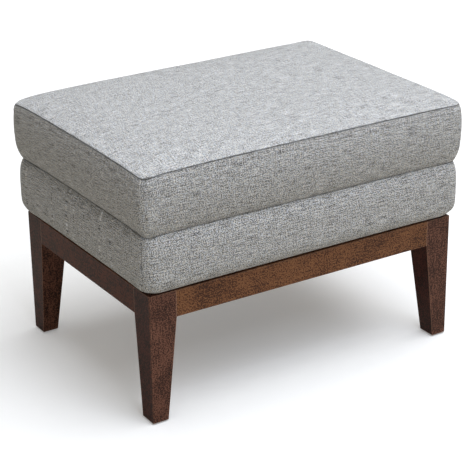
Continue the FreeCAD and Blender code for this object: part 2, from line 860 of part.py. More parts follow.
def upholstery_pieces():
    """Padding, foam and covers, by name."""
    return {
        "band_padding": band_padding(),
        "band_cover": band_cover(),
        "cushion_foam": cushion_foam(),
        "cushion_wadding": cushion_wadding(),
        "cushion_top_panel": cushion_top_panel(),
        "cushion_boxing": cushion_boxing(),
        "cushion_bottom_panel": cushion_bottom_panel(),
    }


def main():
    """Build every piece and write one file for each."""
    os.makedirs("parts", exist_ok=True)
    pieces = {**base_pieces(), **mechanism_pieces(), **seat_pieces(), **upholstery_pieces()}
    for name, shape in pieces.items():
        shape.exportStep("parts/" + name + ".step")


if __name__ == "__main__":
    main()
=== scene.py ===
"""Glider ottoman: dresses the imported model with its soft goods, finishes and small fasteners, in metres."""

import json
import logging
import math
from collections.abc import Callable, Iterable, Iterator, Sequence
from contextlib import contextmanager
from dataclasses import dataclass
from enum import Enum

import bpy
from bpy.types import Material, MeshPolygon, NodeSocket, Object, World
from mathutils import Matrix, Vector, noise


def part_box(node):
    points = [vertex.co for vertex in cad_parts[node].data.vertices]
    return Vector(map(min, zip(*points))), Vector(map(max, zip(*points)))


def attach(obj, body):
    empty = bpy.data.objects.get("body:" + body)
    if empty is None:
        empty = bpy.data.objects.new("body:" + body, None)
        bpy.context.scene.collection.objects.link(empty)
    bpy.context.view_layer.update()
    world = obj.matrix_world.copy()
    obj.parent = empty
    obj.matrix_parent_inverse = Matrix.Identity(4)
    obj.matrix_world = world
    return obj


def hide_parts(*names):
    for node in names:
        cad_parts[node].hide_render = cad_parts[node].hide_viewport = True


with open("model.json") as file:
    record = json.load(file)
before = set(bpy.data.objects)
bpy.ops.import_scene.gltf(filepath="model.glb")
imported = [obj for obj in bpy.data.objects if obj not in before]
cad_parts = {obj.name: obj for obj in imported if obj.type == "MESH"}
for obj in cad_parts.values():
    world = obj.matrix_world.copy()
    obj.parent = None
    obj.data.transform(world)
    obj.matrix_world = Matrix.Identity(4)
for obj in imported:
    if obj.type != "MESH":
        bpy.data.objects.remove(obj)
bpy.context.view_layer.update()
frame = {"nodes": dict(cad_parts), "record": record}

LOG = logging.getLogger("ottoman")
MM = 0.001
SAME_PLACE = 0.1 * MM

# A Mix node's colour sockets go by their places, because their names repeat for each type of data.
MIX_FIRST, MIX_SECOND, MIXED = 6, 7, 2


class GrainAxis(Enum):
    """Direction in which a board's grain runs, as the scale of its figure along each axis."""

    ALONG_X = (1 / 9, 1.0, 1.0)
    ALONG_Y = (1.0, 1 / 9, 1.0)
    ALONG_Z = (1.0, 1.0, 1 / 9)


def linear(hex_colour: str) -> tuple[float, float, float, float]:
    """Turn an sRGB hex colour into the linear colour that a socket takes.

    Args:
        hex_colour: Colour such as "#6b4630".

    Returns:
        Red, green, blue and alpha, from 0 to 1.
    """
    channels = [int(hex_colour[place:place + 2], 16) / 255 for place in (1, 3, 5)]
    straight = [c / 12.92 if c <= 0.04045 else ((c + 0.055) / 1.055) ** 2.4 for c in channels]
    return (*straight, 1.0)


def between(start: float, end: float, share: float) -> float:
    """Value at a share of the way from start to end."""
    return start + (end - start) * share


def fade(distance: float, run: float) -> float:
    """Strength that falls from 1 with distance, to about a third after each run."""
    return math.exp(-distance / run)


class NodeSheet:
    """Nodes of one new material or world."""

    def __init__(self, owner: Material | World) -> None:
        """Clear the nodes that the owner starts with.

        Args:
            owner: Material or world whose nodes these are.
        """
        owner.use_nodes = True
        self.owner = owner
        self.tree = owner.node_tree
        self.tree.nodes.clear()

    def add(self, kind: str, inputs: dict | None = None, out: str | int = 0,
            stops: dict[float, str] | None = None, **settings) -> NodeSocket | None:
        """Add a shader node with its settings and links.

        Args:
            kind: Node type, without its "ShaderNode" prefix.
            inputs: Value or source socket of each input, by its name or place.
            out: Name or place of the output that is wanted.
            stops: Hex colour at each place from 0 to 1, for a colour ramp.
            settings: Values of the node's own settings.

        Returns:
            The wanted output, or None if the node has no outputs.
        """
        node = self.tree.nodes.new("ShaderNode" + kind)
        for name, value in settings.items():
            setattr(node, name, value)
        for name, value in (inputs or {}).items():
            if isinstance(value, NodeSocket):
                self.tree.links.new(value, node.inputs[name])
            else:
                node.inputs[name].default_value = value
        if stops:
            elements = node.color_ramp.elements
            while len(elements) < len(stops):
                elements.new(0.5)
            for element, (place, colour) in zip(elements, sorted(stops.items())):
                element.position = place
                element.color = linear(colour)
        return node.outputs[out] if node.outputs else None

    def surface(self, height: NodeSocket, depth: float, values: dict) -> Material:
        """Finish a material with its surface shader and fine relief.

        Args:
            height: Height of the relief, from 0 to 1.
            depth: Depth of the relief, in metres.
            values: Value or source socket of each of the shader's inputs.

        Returns:
            The finished material.
        """
        relief = self.add("Bump", {"Strength": 1.0, "Distance": depth, "Height": height})
        shader = self.add("BsdfPrincipled", {"Normal": relief, **values})
        self.add("OutputMaterial", {"Surface": shader})
        return self.owner


@dataclass(frozen=True)
class LinenWeave:
    """Heathered linen-look upholstery, woven from slubby yarn: matt, with short pale and dark streaks.

    The streaks run both ways. The yarns are drawn about twice as coarse as they are, because finer ones
    vanish at the picture's size.
    """

    shadow: str = "#4c4b49"
    body: str = "#a9a9a8"
    highlight: str = "#e6e6e6"
    warm: str = "#f7f2ea"
    cool: str = "#eaf0fa"
    # Painted shade colour for the seams.
    seam: str = "#2f2e2c"
    thread: float = 1.2 * MM
    fleck: float = 1.6 * MM
    slub: float = 26 * MM
    relief: float = 0.3 * MM

    @staticmethod
    def streaks(sheet: NodeSheet, weave: NodeSocket, long: float, short: float,
                span: tuple[float, float]) -> NodeSocket:
        """Draw yarns that are lighter or darker in runs.

        Args:
            sheet: Nodes of the material.
            weave: Coordinates on the cloth, in metres.
            long: Length of a run along the cloth's first direction.
            short: Length of a run along its second direction.
            span: Noise values that become 0 and 1.

        Returns:
            Tone from 0 to 1.
        """
        place = sheet.add("Mapping", {"Vector": weave, "Scale": (1 / long, 1 / short, 1.0)})
        yarn = {"Vector": place, "Scale": 1.0, "Detail": 1.0, "Roughness": 0.5}
        tone = sheet.add("TexNoise", yarn, noise_dimensions="2D")
        return sheet.add("MapRange", {"Value": tone, "From Min": span[0], "From Max": span[1]})

    def heather(self, sheet: NodeSheet, weave: NodeSocket) -> NodeSocket:
        """Lay weft, warp, loose fibre and thick or dark slubs over each other.

        Args:
            sheet: Nodes of the material.
            weave: Coordinates on the cloth, in metres.

        Returns:
            Tone of the cloth.
        """
        even = (0.33, 0.67)
        weft = (self.slub, self.thread, even)
        warp = (self.thread, self.slub * 0.7, even)
        fibre = (self.fleck, self.fleck, even)
        thick_weft = (self.slub * 1.5, self.thread, (0.66, 0.76))
        thick_warp = (self.thread, self.slub, (0.67, 0.77))
        dark_weft = (self.slub, self.thread, (0.34, 0.24))
        mixture = {weft: 0.24, warp: 0.18, fibre: 0.58, thick_weft: 0.16, thick_warp: 0.14, dark_weft: -0.06}
        total = 0.0
        for yarn, weight in mixture.items():
            tone = self.streaks(sheet, weave, *yarn)
            total = sheet.add("Math", {0: tone, 1: weight, 2: total}, operation="MULTIPLY_ADD")
        return total

    def material(self) -> Material:
        """Build the cloth's material, with painted shade along the seams, as strong as the piece's seam
        attribute says.
        """
        sheet = NodeSheet(bpy.data.materials.new("heather_linen"))
        weave = sheet.add("UVMap", uv_map="weave")
        heather = self.heather(sheet, weave)
        tones = {0.2: self.shadow, 0.5: self.body, 0.8: self.highlight}
        colour = sheet.add("ValToRGB", {0: heather}, stops=tones)
        dye = self.streaks(sheet, weave, self.thread * 4, self.thread * 1.5, (0.35, 0.65))
        tint = sheet.add("ValToRGB", {0: dye}, stops={0.0: self.warm, 1.0: self.cool})
        dyed = {"Factor": 1.0, MIX_FIRST: colour, MIX_SECOND: tint}
        toned = sheet.add("Mix", dyed, out=MIXED, data_type="RGBA", blend_type="MULTIPLY")
        # Painted shade along the seams, as strong as the seam attribute says.
        seam_shade = sheet.add("Attribute", out="Fac", attribute_name="seam_shade")
        seam = {"Factor": seam_shade, MIX_FIRST: toned, MIX_SECOND: linear(self.seam)}
        seamed = sheet.add("Mix", seam, out=MIXED, data_type="RGBA")
        return sheet.surface(heather, self.relief, {
            "Base Color": seamed, "Roughness": 0.92, "Specular IOR Level": 0.2,
            "Sheen Weight": 0.1, "Sheen Roughness": 0.5,
        })


@dataclass(frozen=True)
class StainedBeech:
    """Beech under a dark walnut stain and a satin lacquer: red-brown and mottled, with a painted highlight
    along its edges.

    Its flecks are drawn coarser than they are, because finer ones vanish at the picture's size. The faces
    that look along X get painted shade: a darker colour is multiplied over them.
    """

    grain: GrainAxis
    dark: str
    body: str
    light: str
    # Painted highlight colour, mixed in along the convex edges.
    edge_highlight: str = "#a8826c"
    # Painted shade colour, multiplied over the faces that look along X.
    x_face_shade: str = "#b48792"
    grain_width: float = 3.0 * MM
    fleck: float = 2.3 * MM
    edge_width: float = 1.8 * MM
    clouds_per_metre: float = 30.0
    pore_weight: float = 2.4
    cloud_weight: float = 0.8
    stain_span: tuple[float, float] = (1.85, 2.35)
    relief: float = 0.05 * MM

    def stain(self, sheet: NodeSheet, place: NodeSocket, pores: NodeSocket) -> NodeSocket:
        """Mottle the stain from the grain, the open pores and slow clouds.

        Args:
            sheet: Nodes of the material.
            place: Coordinates on the board, in metres.
            pores: Tone of the pores.

        Returns:
            Colour of the faces.
        """
        scale = Vector(self.grain.value) / self.grain_width
        lines = sheet.add("Mapping", {"Vector": place, "Scale": scale})
        figure = {"Vector": lines, "Scale": 1.0, "Detail": 3.0, "Roughness": 0.6, "Distortion": 0.3}
        tone = sheet.add("TexNoise", figure)
        cloud = sheet.add("TexNoise", {"Vector": place, "Scale": self.clouds_per_metre, "Detail": 3.0})
        for layer, weight in ((cloud, self.cloud_weight), (pores, self.pore_weight)):
            tone = sheet.add("Math", {0: layer, 1: weight, 2: tone}, operation="MULTIPLY_ADD")
        low, high = self.stain_span
        even = sheet.add("MapRange", {"Value": tone, "From Min": low, "From Max": high})
        return sheet.add("ValToRGB", {0: even}, stops={0.0: self.dark, 0.5: self.body, 1.0: self.light})

    def material(self) -> Material:
        """Build the stained wood's material for one grain direction."""
        sheet = NodeSheet(bpy.data.materials.new("stained_beech_" + self.grain.name.lower()))
        place = sheet.add("TexCoord", out="Object")
        pores = sheet.add("TexNoise", {"Vector": place, "Scale": 1 / self.fleck, "Detail": 1.0})
        # Painted shade: the faces that look along X are darkened.
        face = sheet.add("NewGeometry", out="True Normal")
        along_x = sheet.add("SeparateXYZ", {0: face}, out="X")
        sideways = sheet.add("Math", {0: along_x}, operation="ABSOLUTE")
        x_face_shade_mix = {"Factor": sideways, MIX_FIRST: linear("#ffffff"), MIX_SECOND: linear(self.x_face_shade)}
        x_face_shade_tone = sheet.add("Mix", x_face_shade_mix, out=MIXED, data_type="RGBA")
        stain_and_shade = {"Factor": 1.0, MIX_FIRST: self.stain(sheet, place, pores), MIX_SECOND: x_face_shade_tone}
        colour = sheet.add("Mix", stain_and_shade, out=MIXED, data_type="RGBA", blend_type="MULTIPLY")
        # Painted highlight: convex edges, found where the bevel normal leaves the true normal, are lightened.
        eased = sheet.add("Bevel", {"Radius": self.edge_width}, samples=6)
        flat = sheet.add("VectorMath", {0: eased, 1: face}, out="Value", operation="DOT_PRODUCT")
        edge_highlight_span = {"Value": flat, "From Min": 0.99, "From Max": 0.8, "To Min": 0.0, "To Max": 0.7}
        highlighted_colour = {"Factor": sheet.add("MapRange", edge_highlight_span), MIX_FIRST: colour, MIX_SECOND: linear(self.edge_highlight)}
        return sheet.surface(pores, self.relief, {
            "Base Color": sheet.add("Mix", highlighted_colour, out=MIXED, data_type="RGBA"),
            "Roughness": 0.5, "Specular IOR Level": 0.25,
        })


@dataclass(frozen=True)
class RawPine:
    """Planed pine without finish: pale straw boards with soft brown growth lines."""

    grain: GrainAxis
    late: str = "#b98f5e"
    early: str = "#dcc094"
    ring_width: float = 5 * MM
    relief: float = 0.1 * MM

    def material(self) -> Material:
        """Build the raw pine's material for one grain direction."""
        sheet = NodeSheet(bpy.data.materials.new("raw_pine_" + self.grain.name.lower()))
        place = sheet.add("TexCoord", out="Object")
        lines = sheet.add("Mapping", {"Vector": place, "Scale": Vector(self.grain.value) / self.ring_width})
        rings = sheet.add("TexNoise", {"Vector": lines, "Scale": 1.0, "Detail": 2.0, "Distortion": 0.6})
        colour = sheet.add("ValToRGB", {0: rings}, stops={0.35: self.late, 0.6: self.early})
        return sheet.surface(rings, self.relief, {"Base Color": colour, "Roughness": 0.75})


@dataclass(frozen=True)
class CoatedSteel:
    """Steel under powder paint or bright zinc: even colour, with a faint orange peel."""

    name: str
    low: str
    high: str
    metallic: float
    roughness: float
    peel: float = 1.2 * MM
    clouds_per_metre: float = 60.0
    relief: float = 0.03 * MM

    def material(self) -> Material:
        """Build the coated steel's material."""
        sheet = NodeSheet(bpy.data.materials.new(self.name))
        place = sheet.add("TexCoord", out="Object")
        grit = sheet.add("TexNoise", {"Vector": place, "Scale": 1 / self.peel, "Detail": 2.0})
        cloud = sheet.add("TexNoise", {"Vector": place, "Scale": self.clouds_per_metre, "Detail": 3.0})
        colour = sheet.add("ValToRGB", {0: cloud}, stops={0.3: self.low, 0.7: self.high})
        values = {"Base Color": colour, "Metallic": self.metallic, "Roughness": self.roughness}
        return sheet.surface(grit, self.relief, values)


@dataclass(frozen=True)
class MouldedPolymer:
    """Moulded nylon or rubber: one colour through, with a soft grain from the mould."""

    name: str
    low: str
    high: str
    roughness: float
    grain: float = 0.8 * MM
    relief: float = 0.05 * MM

    def material(self) -> Material:
        """Build the moulded polymer's material."""
        sheet = NodeSheet(bpy.data.materials.new(self.name))
        place = sheet.add("TexCoord", out="Object")
        skin = sheet.add("TexNoise", {"Vector": place, "Scale": 1 / self.grain, "Detail": 2.0})
        colour = sheet.add("ValToRGB", {0: skin}, stops={0.3: self.low, 0.7: self.high})
        return sheet.surface(skin, self.relief, {"Base Color": colour, "Roughness": self.roughness})


@dataclass(frozen=True)
class PlainCloth:
    """Simple woven or bonded cloth, such as jute webbing, calico or dust cover: matt, with even threads."""

    name: str
    low: str
    high: str
    thread: float
    cross_weight: float = 0.2
    relief: float = 0.25 * MM

    def material(self) -> Material:
        """Build the plain cloth's material."""
        sheet = NodeSheet(bpy.data.materials.new(self.name))
        place = sheet.add("TexCoord", out="Object")
        waves = []
        for axis in ("X", "Y"):
            along = sheet.add("SeparateXYZ", {0: place}, out=axis)
            phase = sheet.add("Math", {0: along, 1: math.pi / self.thread}, operation="MULTIPLY")
            waves.append(sheet.add("Math", {0: phase}, operation="SINE"))
        cross = sheet.add("Math", dict(enumerate(waves)), operation="MULTIPLY")
        fibre = sheet.add("TexNoise", {"Vector": place, "Scale": 1 / self.thread, "Detail": 3.0})
        tone = sheet.add("Math", {0: cross, 1: self.cross_weight, 2: fibre}, operation="MULTIPLY_ADD")
        colour = sheet.add("ValToRGB", {0: tone}, stops={0.25: self.low, 0.75: self.high})
        values = {"Base Color": colour, "Roughness": 0.95, "Specular IOR Level": 0.15}
        return sheet.surface(tone, self.relief, values)


class Workbench:
    """Modelling steps shared by the soft goods and fasteners."""

    @staticmethod
    def pick(*pieces: Object) -> None:
        """Make these objects the only selected ones, and the first one active.

        Args:
            pieces: Objects to select, or none.
        """
        bpy.ops.object.select_all(action="DESELECT")
        for piece in reversed(pieces):
            piece.select_set(True)
            bpy.context.view_layer.objects.active = piece

    @staticmethod
    def primitive(kind: str, name: str, **sizes) -> Object:
        """Add a primitive and put its place into its mesh.

        Args:
            kind: Kind of mesh primitive, such as "grid".
            name: Name of the new object.
            sizes: Sizes and place that the operator takes.

        Returns:
            The primitive, at the origin.
        """
        Workbench.pick()
        getattr(bpy.ops.mesh, f"primitive_{kind}_add")(**sizes)
        piece = bpy.context.object
        piece.name = piece.data.name = name
        bpy.ops.object.transform_apply(location=True, rotation=True, scale=True)
        return piece

    @staticmethod
    @contextmanager
    def edit_mode(select: str) -> Iterator[None]:
        """Shape the active object in edit mode.

        Args:
            select: "SELECT" to start with all of it selected, or "DESELECT" with none of it.
        """
        bpy.ops.object.mode_set(mode="EDIT")
        bpy.ops.mesh.select_all(action=select)
        yield
        bpy.ops.object.mode_set(mode="OBJECT")

    @staticmethod
    @contextmanager
    def faces_selected(piece: Object, test: Callable[[MeshPolygon], bool]) -> Iterator[None]:
        """Shape the active object in edit mode, with the faces selected that pass a test.

        Args:
            piece: The active object.
            test: True for the faces to select.
        """
        with Workbench.edit_mode("DESELECT"):
            bpy.ops.mesh.select_mode(type="FACE")
        for polygon in piece.data.polygons:
            polygon.select = test(polygon)
        bpy.ops.object.mode_set(mode="EDIT")
        yield
        bpy.ops.object.mode_set(mode="OBJECT")

    @staticmethod
    def bridge_rims(rows: int = 1) -> None:
        """Close the space between a mesh's two open rims.

        Args:
            rows: Number of rows of faces between them.
        """
        bpy.ops.mesh.select_mode(type="EDGE")
        bpy.ops.mesh.select_all(action="SELECT")
        bpy.ops.mesh.select_non_manifold(extend=False)
        bpy.ops.mesh.bridge_edge_loops(number_cuts=rows - 1)

    @staticmethod
    def apply(piece: Object, kind: str, **settings) -> None:
        """Add a modifier to a piece and apply it.

        Args:
            piece: Object that takes the modifier.
            kind: Modifier type.
            settings: Values of the modifier's settings.
        """
        Workbench.pick(piece)
        modifier = piece.modifiers.new(kind.lower(), kind)
        for name, value in settings.items():
            setattr(modifier, name, value)
        bpy.ops.object.modifier_apply(modifier=modifier.name)

    @staticmethod
    def join(pieces: Sequence[Object], name: str) -> Object:
        """Join pieces into one object.

        Args:
            pieces: Objects to join, at the origin.
            name: Name of the joined object.

        Returns:
            The joined object.
        """
        Workbench.pick(*pieces)
        bpy.ops.object.join()
        joined = bpy.context.object
        joined.name = joined.data.name = name
        return joined

    @staticmethod
    def copy_at(piece: Object, moves: Iterable[Matrix], name: str) -> Object:
        """Copy a small piece to several places and join the copies into one object.

        Args:
            piece: Model of the repeated shape, which is used up.
            moves: Place of each copy.
            name: Name of the joined object.

        Returns:
            The joined object, at the origin.
        """
        copies = []
        for move in moves:
            copies.append(bpy.data.objects.new(name, piece.data.copy()))
            copies[-1].data.transform(move)
            bpy.context.scene.collection.objects.link(copies[-1])
        bpy.data.objects.remove(piece)
        return Workbench.join(copies, name)

    @staticmethod
    def dress(piece: Object, material: Material) -> None:
        """Give a piece one material all over."""
        piece.data.materials.clear()
        piece.data.materials.append(material)

    @staticmethod
    def puff(piece: Object, held: Sequence[float], cap: float) -> None:
        """Blow a closed cover up a little as cloth, so that it stands tight between its seams.

        Args:
            piece: Cover to inflate.
            held: How firmly each vertex is held, from 0 to 1.
            cap: Furthest that a point may move, in metres.
        """
        frames = 20
        start = [vertex.co.copy() for vertex in piece.data.vertices]
        group = piece.vertex_groups.new(name="held")
        for index, weight in enumerate(held):
            group.add([index], weight, "REPLACE")
        Workbench.pick(piece)
        cloth = piece.modifiers.new("cloth", "CLOTH")
        cloth.settings.vertex_group_mass = group.name
        cloth.settings.use_pressure = True
        cloth.settings.uniform_pressure_force = 4.0
        cloth.settings.effector_weights.gravity = 0
        cloth.settings.quality = 6
        cloth.collision_settings.use_collision = False
        cloth.point_cache.frame_start = 1
        cloth.point_cache.frame_end = frames
        for step in range(1, frames + 1):
            bpy.context.scene.frame_set(step)
        bpy.ops.object.modifier_apply(modifier=cloth.name)
        bpy.context.scene.frame_set(1)
        for vertex, old, weight in zip(piece.data.vertices, start, held):
            move = vertex.co - old
            if move.length > cap:
                move *= cap / move.length
            vertex.co = old + move * (1 - weight)
        piece.vertex_groups.clear()

    @staticmethod
    def upholster(piece: Object, material: Material) -> None:
        """Smooth a cover and dress it in its cloth.

        Args:
            piece: Cover of a padded piece.
            material: Its cloth.
        """
        Workbench.apply(piece, "SUBSURF", levels=1, render_levels=1)
        piece.data.shade_smooth()
        Workbench.dress(piece, material)


@dataclass
class Outline:
    """Plan outline that runs round the base at an outset from its faces, with rounded corners."""

    half_length: float
    half_depth: float
    corner_setback: float
    seam_angle: float = math.radians(24)
    seam_width: float = math.radians(0.2)
    firm_run: float = 40 * MM

    def core(self) -> tuple[float, float]:
        """Half sizes of the rectangle through the corners' centres."""
        return self.half_length - self.corner_setback, self.half_depth - self.corner_setback

    def past_core(self, x: float, y: float) -> tuple[float, float]:
        """How far a point lies past the corners' centres, along and across, and below 0 inside them."""
        core_x, core_y = self.core()
        return abs(x) - core_x, abs(y) - core_y

    def nearest_in_core(self, x: float, y: float) -> tuple[float, float]:
        """Point of the rectangle through the corners' centres that is nearest to a point."""
        core_x, core_y = self.core()
        return min(max(x, -core_x), core_x), min(max(y, -core_y), core_y)

    def moved(self, x: float, y: float, radius: float, outset: float) -> tuple[float, float]:
        """Move a point of one outline to another outline of the same family.

        Args:
            x: Place along the base on the first outline.
            y: Place across the base on the first outline.
            radius: Corner radius of the first outline.
            outset: Outset of the new outline from the base's faces.

        Returns:
            Place on the new outline.
        """
        near_x, near_y = self.nearest_in_core(x, y)
        share = (self.corner_setback + outset) / radius
        return near_x + (x - near_x) * share, near_y + (y - near_y) * share

    def corner_angle(self, x: float, y: float) -> float:
        """Angle of a point on a corner, from 0 at the end face to a right angle at the front or rear face."""
        past_x, past_y = self.past_core(x, y)
        return math.atan2(max(past_y, 0.0), max(past_x, 0.0))

    def is_end_panel(self, x: float, y: float) -> bool:
        """True where the end panel covers a point, past the upright seam of the front or rear panel."""
        return self.past_core(x, y)[1] <= 0 or self.corner_angle(x, y) < self.seam_angle

    def is_upright_seam(self, x: float, y: float) -> bool:
        """True for a point on the column of an upright corner seam."""
        return abs(self.corner_angle(x, y) - self.seam_angle) < self.seam_width

    def firmness(self, x: float, y: float) -> float:
        """How firm the padding is, from 1 at a corner to 0 well along a side."""
        return fade(math.hypot(self.half_length - abs(x), self.half_depth - abs(y)), self.firm_run)

    def run(self, x: float, y: float, radius: float, end_panel: bool) -> float:
        """Measure along the cloth from the middle of its panel.

        Args:
            x: Place along the base.
            y: Place across the base.
            radius: Corner radius of the outline there.
            end_panel: True to measure on the end panel.

        Returns:
            Distance along the cloth, in metres.
        """
        near_x, near_y = self.nearest_in_core(abs(x), abs(y))
        angle = self.corner_angle(x, y)
        if end_panel:
            return math.copysign(near_y + radius * angle, y)
        return math.copysign(near_x + radius * (math.pi / 2 - angle), x)


@dataclass
class BoxedCushion:
    """Cushion with a crowned top panel, a boxing strip with upright corner seams, and a flat bottom.

    Outsets are measured from the base's faces and drops from the top seam. The last drop is the bottom's.
    """

    outline: Outline
    bottom: float
    seam: float
    seam_outset: float = 13.2 * MM
    widest_outset: float = 16.0 * MM
    widest_drop: float = 45 * MM
    roll_drop: float = 79.7 * MM
    roll_ease: float = 0.3
    foot_outset: float = -1.0 * MM
    corner_foot_outset: float = 4.5 * MM
    crown: float = 9.0 * MM
    crown_run: float = 120 * MM
    lip: float = 1.7 * MM
    lip_run: float = 2.4 * MM
    pinch: float = 1.1 * MM
    pinch_run: float = 1.6 * MM
    ridge: float = 0.8 * MM
    ridge_drop: float = 9.5 * MM
    ridge_width: float = 1.3 * MM
    # Painted shade on the seams: its width at the top seam, and its strength down the upright seams and along
    # the row below the ridge.
    seam_shade_width: float = 1.7 * MM
    upright_seam_shade: float = 0.2
    ridge_shade: float = 0.25
    corners: Sequence[tuple[int, int]] = ((-1, -1), (-1, 1), (1, 1), (1, -1))
    corner_dips: Sequence[float] = (12 * MM, 14 * MM, -4 * MM, 5 * MM)
    corner_draws: Sequence[float] = (5 * MM, 1 * MM, 7 * MM, 5 * MM)
    sharp_run: float = 16 * MM
    soft_run: float = 90 * MM
    soft_share: float = 0.35
    draw_depth: float = 26 * MM
    dip_run: float = 40 * MM
    dip_depth: float = 60 * MM
    cell: float = 9 * MM
    rim: Sequence[float] = (0.0, 1.0 * MM, 2.2 * MM, 3.6 * MM, 5.5 * MM, 8.5 * MM, 12 * MM)
    drops: Sequence[float] = tuple(
        drop * MM for drop in (1.0, 2.2, 3.8, 6.0, 8.2, 9.5, 10.8, 12.5, 16.0, 22.0))
    foot_drops: Sequence[float] = (96.5 * MM, 100 * MM, 103.5 * MM, 106.7 * MM)
    held_run: float = 14 * MM
    uneven: float = 0.7 * MM
    uneven_scale: float = 9.0
    flat_foot: float = 2 * MM
    puff_cap: float = 3 * MM

    def seam_radius(self) -> float:
        """Corner radius of the outline along the top seam."""
        return self.outline.corner_setback + self.seam_outset

    def half_sizes(self) -> tuple[float, float]:
        """Half length and half depth of the top panel."""
        return self.outline.half_length + self.seam_outset, self.outline.half_depth + self.seam_outset

    def lines(self, half: float) -> list[float]:
        """Places of the grid's lines across the top panel, close together along the seam.

        Args:
            half: Half of the panel's length or depth.

        Returns:
            Places from one edge to the other.
        """
        upright = self.seam_radius() * (1 - self.outline.seam_angle / (math.pi / 4))
        near = [*self.rim, upright - MM, upright, upright + MM, self.seam_radius()]
        inner = half - self.seam_radius()
        count = round(2 * inner / self.cell)
        first = [distance - half for distance in sorted(near)]
        middle = [2 * inner * index / count - inner for index in range(1, count)]
        return first + middle + [-place for place in reversed(first)]

    def levels(self) -> list[float]:
        """Set out the boxing's rows, close together at the seam and the foot.

        Returns:
            Drop of each row below the seam.
        """
        start = self.drops[-1]
        span = self.foot_drops[0] - start
        count = round(span / self.cell)
        return [*self.drops, *(start + span * index / count for index in range(1, count)), *self.foot_drops]

    def block(self) -> Object:
        """Model the cover as two grids with rows of faces between their edges.

        Returns:
            The closed cover, square in section.
        """
        xs, ys = (self.lines(half) for half in self.half_sizes())
        levels = self.levels()
        across, up = len(xs) - 1, len(ys) - 1
        piece = Workbench.primitive("grid", "boxed_cushion", x_subdivisions=across, y_subdivisions=up, size=1)
        for vertex in piece.data.vertices:
            x, y = xs[round((vertex.co.x + 0.5) * across)], ys[round((vertex.co.y + 0.5) * up)]
            vertex.co = Vector((*self.rounded(x, y), 0.0))
        with Workbench.edit_mode("SELECT"):
            bpy.ops.mesh.duplicate_move(TRANSFORM_OT_translate={"value": (0, 0, -len(levels))})
            Workbench.bridge_rims(len(levels))
            bpy.ops.mesh.select_all(action="SELECT")
            bpy.ops.mesh.normals_make_consistent(inside=False)
        for vertex in piece.data.vertices:
            row = -round(vertex.co.z)
            vertex.co.z = -levels[row - 1] if row else 0.0
        return piece

    def rounded(self, x: float, y: float) -> tuple[float, float]:
        """Round the corner of a square grid, ring by ring.

        Args:
            x: Place along the square grid.
            y: Place across the square grid.

        Returns:
            Place on the rounded grid.
        """
        core_x, core_y = self.outline.core()
        past = self.outline.past_core(x, y)
        if min(past) <= 0:
            return x, y
        ring = max(past)
        angle = math.pi / 4 * min(past) / ring
        if past[1] > past[0]:
            angle = math.pi / 2 - angle
        round_x, round_y = core_x + ring * math.cos(angle), core_y + ring * math.sin(angle)
        return math.copysign(round_x, x), math.copysign(round_y, y)

    def lay_weave(self, piece: Object) -> None:
        """Give each panel its own cloth coordinates, in metres along and up the cloth.

        Args:
            piece: The cover before it is shaped.
        """
        layer = piece.data.uv_layers.new(name="weave")
        radius = self.seam_radius()
        for polygon in piece.data.polygons:
            level = abs(polygon.normal.z) > 0.5
            end_panel = self.outline.is_end_panel(polygon.center.x, polygon.center.y)
            for loop in polygon.loop_indices:
                place = piece.data.vertices[piece.data.loops[loop].vertex_index].co
                run = place.x if level else self.outline.run(place.x, place.y, radius, end_panel)
                layer.data[loop].uv = (run, place.y if level else place.z)

    def mark_seam_shade(self, piece: Object) -> None:
        """Mark painted shade on the seams' rows for the cloth's material: full along the top seam, fainter
        down the upright seams and along the row below the ridge.

        Args:
            piece: The cover before it is shaped.
        """
        marks = piece.data.attributes.new("seam_shade", "FLOAT", "POINT")
        allowance_edge = self.ridge_drop + self.ridge_width
        for vertex, mark in zip(piece.data.vertices, marks.data):
            x, y, z = vertex.co
            away = max(self.edge_distance(x, y), -z)
            upright = self.upright_seam_shade * (z < -SAME_PLACE and self.outline.is_upright_seam(x, y))
            allowance = self.ridge_shade * (abs(z + allowance_edge) < SAME_PLACE)
            # Painted shade: full at the top seam, fainter on the upright seams and on the row below the
            # ridge.
            mark.value = max(upright, allowance, 1 - away / self.seam_shade_width)

    def edge_distance(self, x: float, y: float) -> float:
        """Distance of a point of the rounded top panel from its seam."""
        past = self.outline.past_core(x, y)
        return self.seam_radius() - (math.hypot(*past) if min(past) > 0 else max(past))

    def corner_pull(self, x: float, y: float) -> tuple[float, float]:
        """Pull the seam down and in near the corners, each of which is sewn a little differently.

        Args:
            x: Place along the top panel.
            y: Place across the top panel.

        Returns:
            Dip and draw-in at that place.
        """
        half_x, half_y = self.half_sizes()
        dip = draw = 0.0
        pulls = zip(self.corners, self.corner_dips, self.corner_draws)
        for (side_x, side_y), corner_dip, corner_draw in pulls:
            away = math.hypot(side_x * half_x - x, side_y * half_y - y)
            sharp = fade(away, self.sharp_run)
            dip += corner_dip * between(sharp, fade(away, self.soft_run), self.soft_share)
            draw += corner_draw * sharp
        return dip, draw

    def side_outset(self, drop: float, firmness: float) -> float:
        """Outset of the boxing at a drop below the seam.

        Args:
            drop: Distance below the seam.
            firmness: 1 at a corner, 0 well along a side.

        Returns:
            Outset from the base's faces.
        """
        if drop <= self.roll_drop:
            swell = 1 - ((drop - self.widest_drop) / self.widest_drop) ** 2
            outset = between(self.seam_outset, self.widest_outset, swell)
        else:
            share = (drop - self.roll_drop) / (self.foot_drops[-1] - self.roll_drop)
            foot = between(self.foot_outset, self.corner_foot_outset, firmness)
            turn = between(share ** 2, share, self.roll_ease)
            outset = between(self.side_outset(self.roll_drop, firmness), foot, turn)
        ridge = self.ridge * math.exp(-((drop - self.ridge_drop) / self.ridge_width) ** 2)
        return outset + ridge - self.pinch * fade(drop, self.pinch_run)

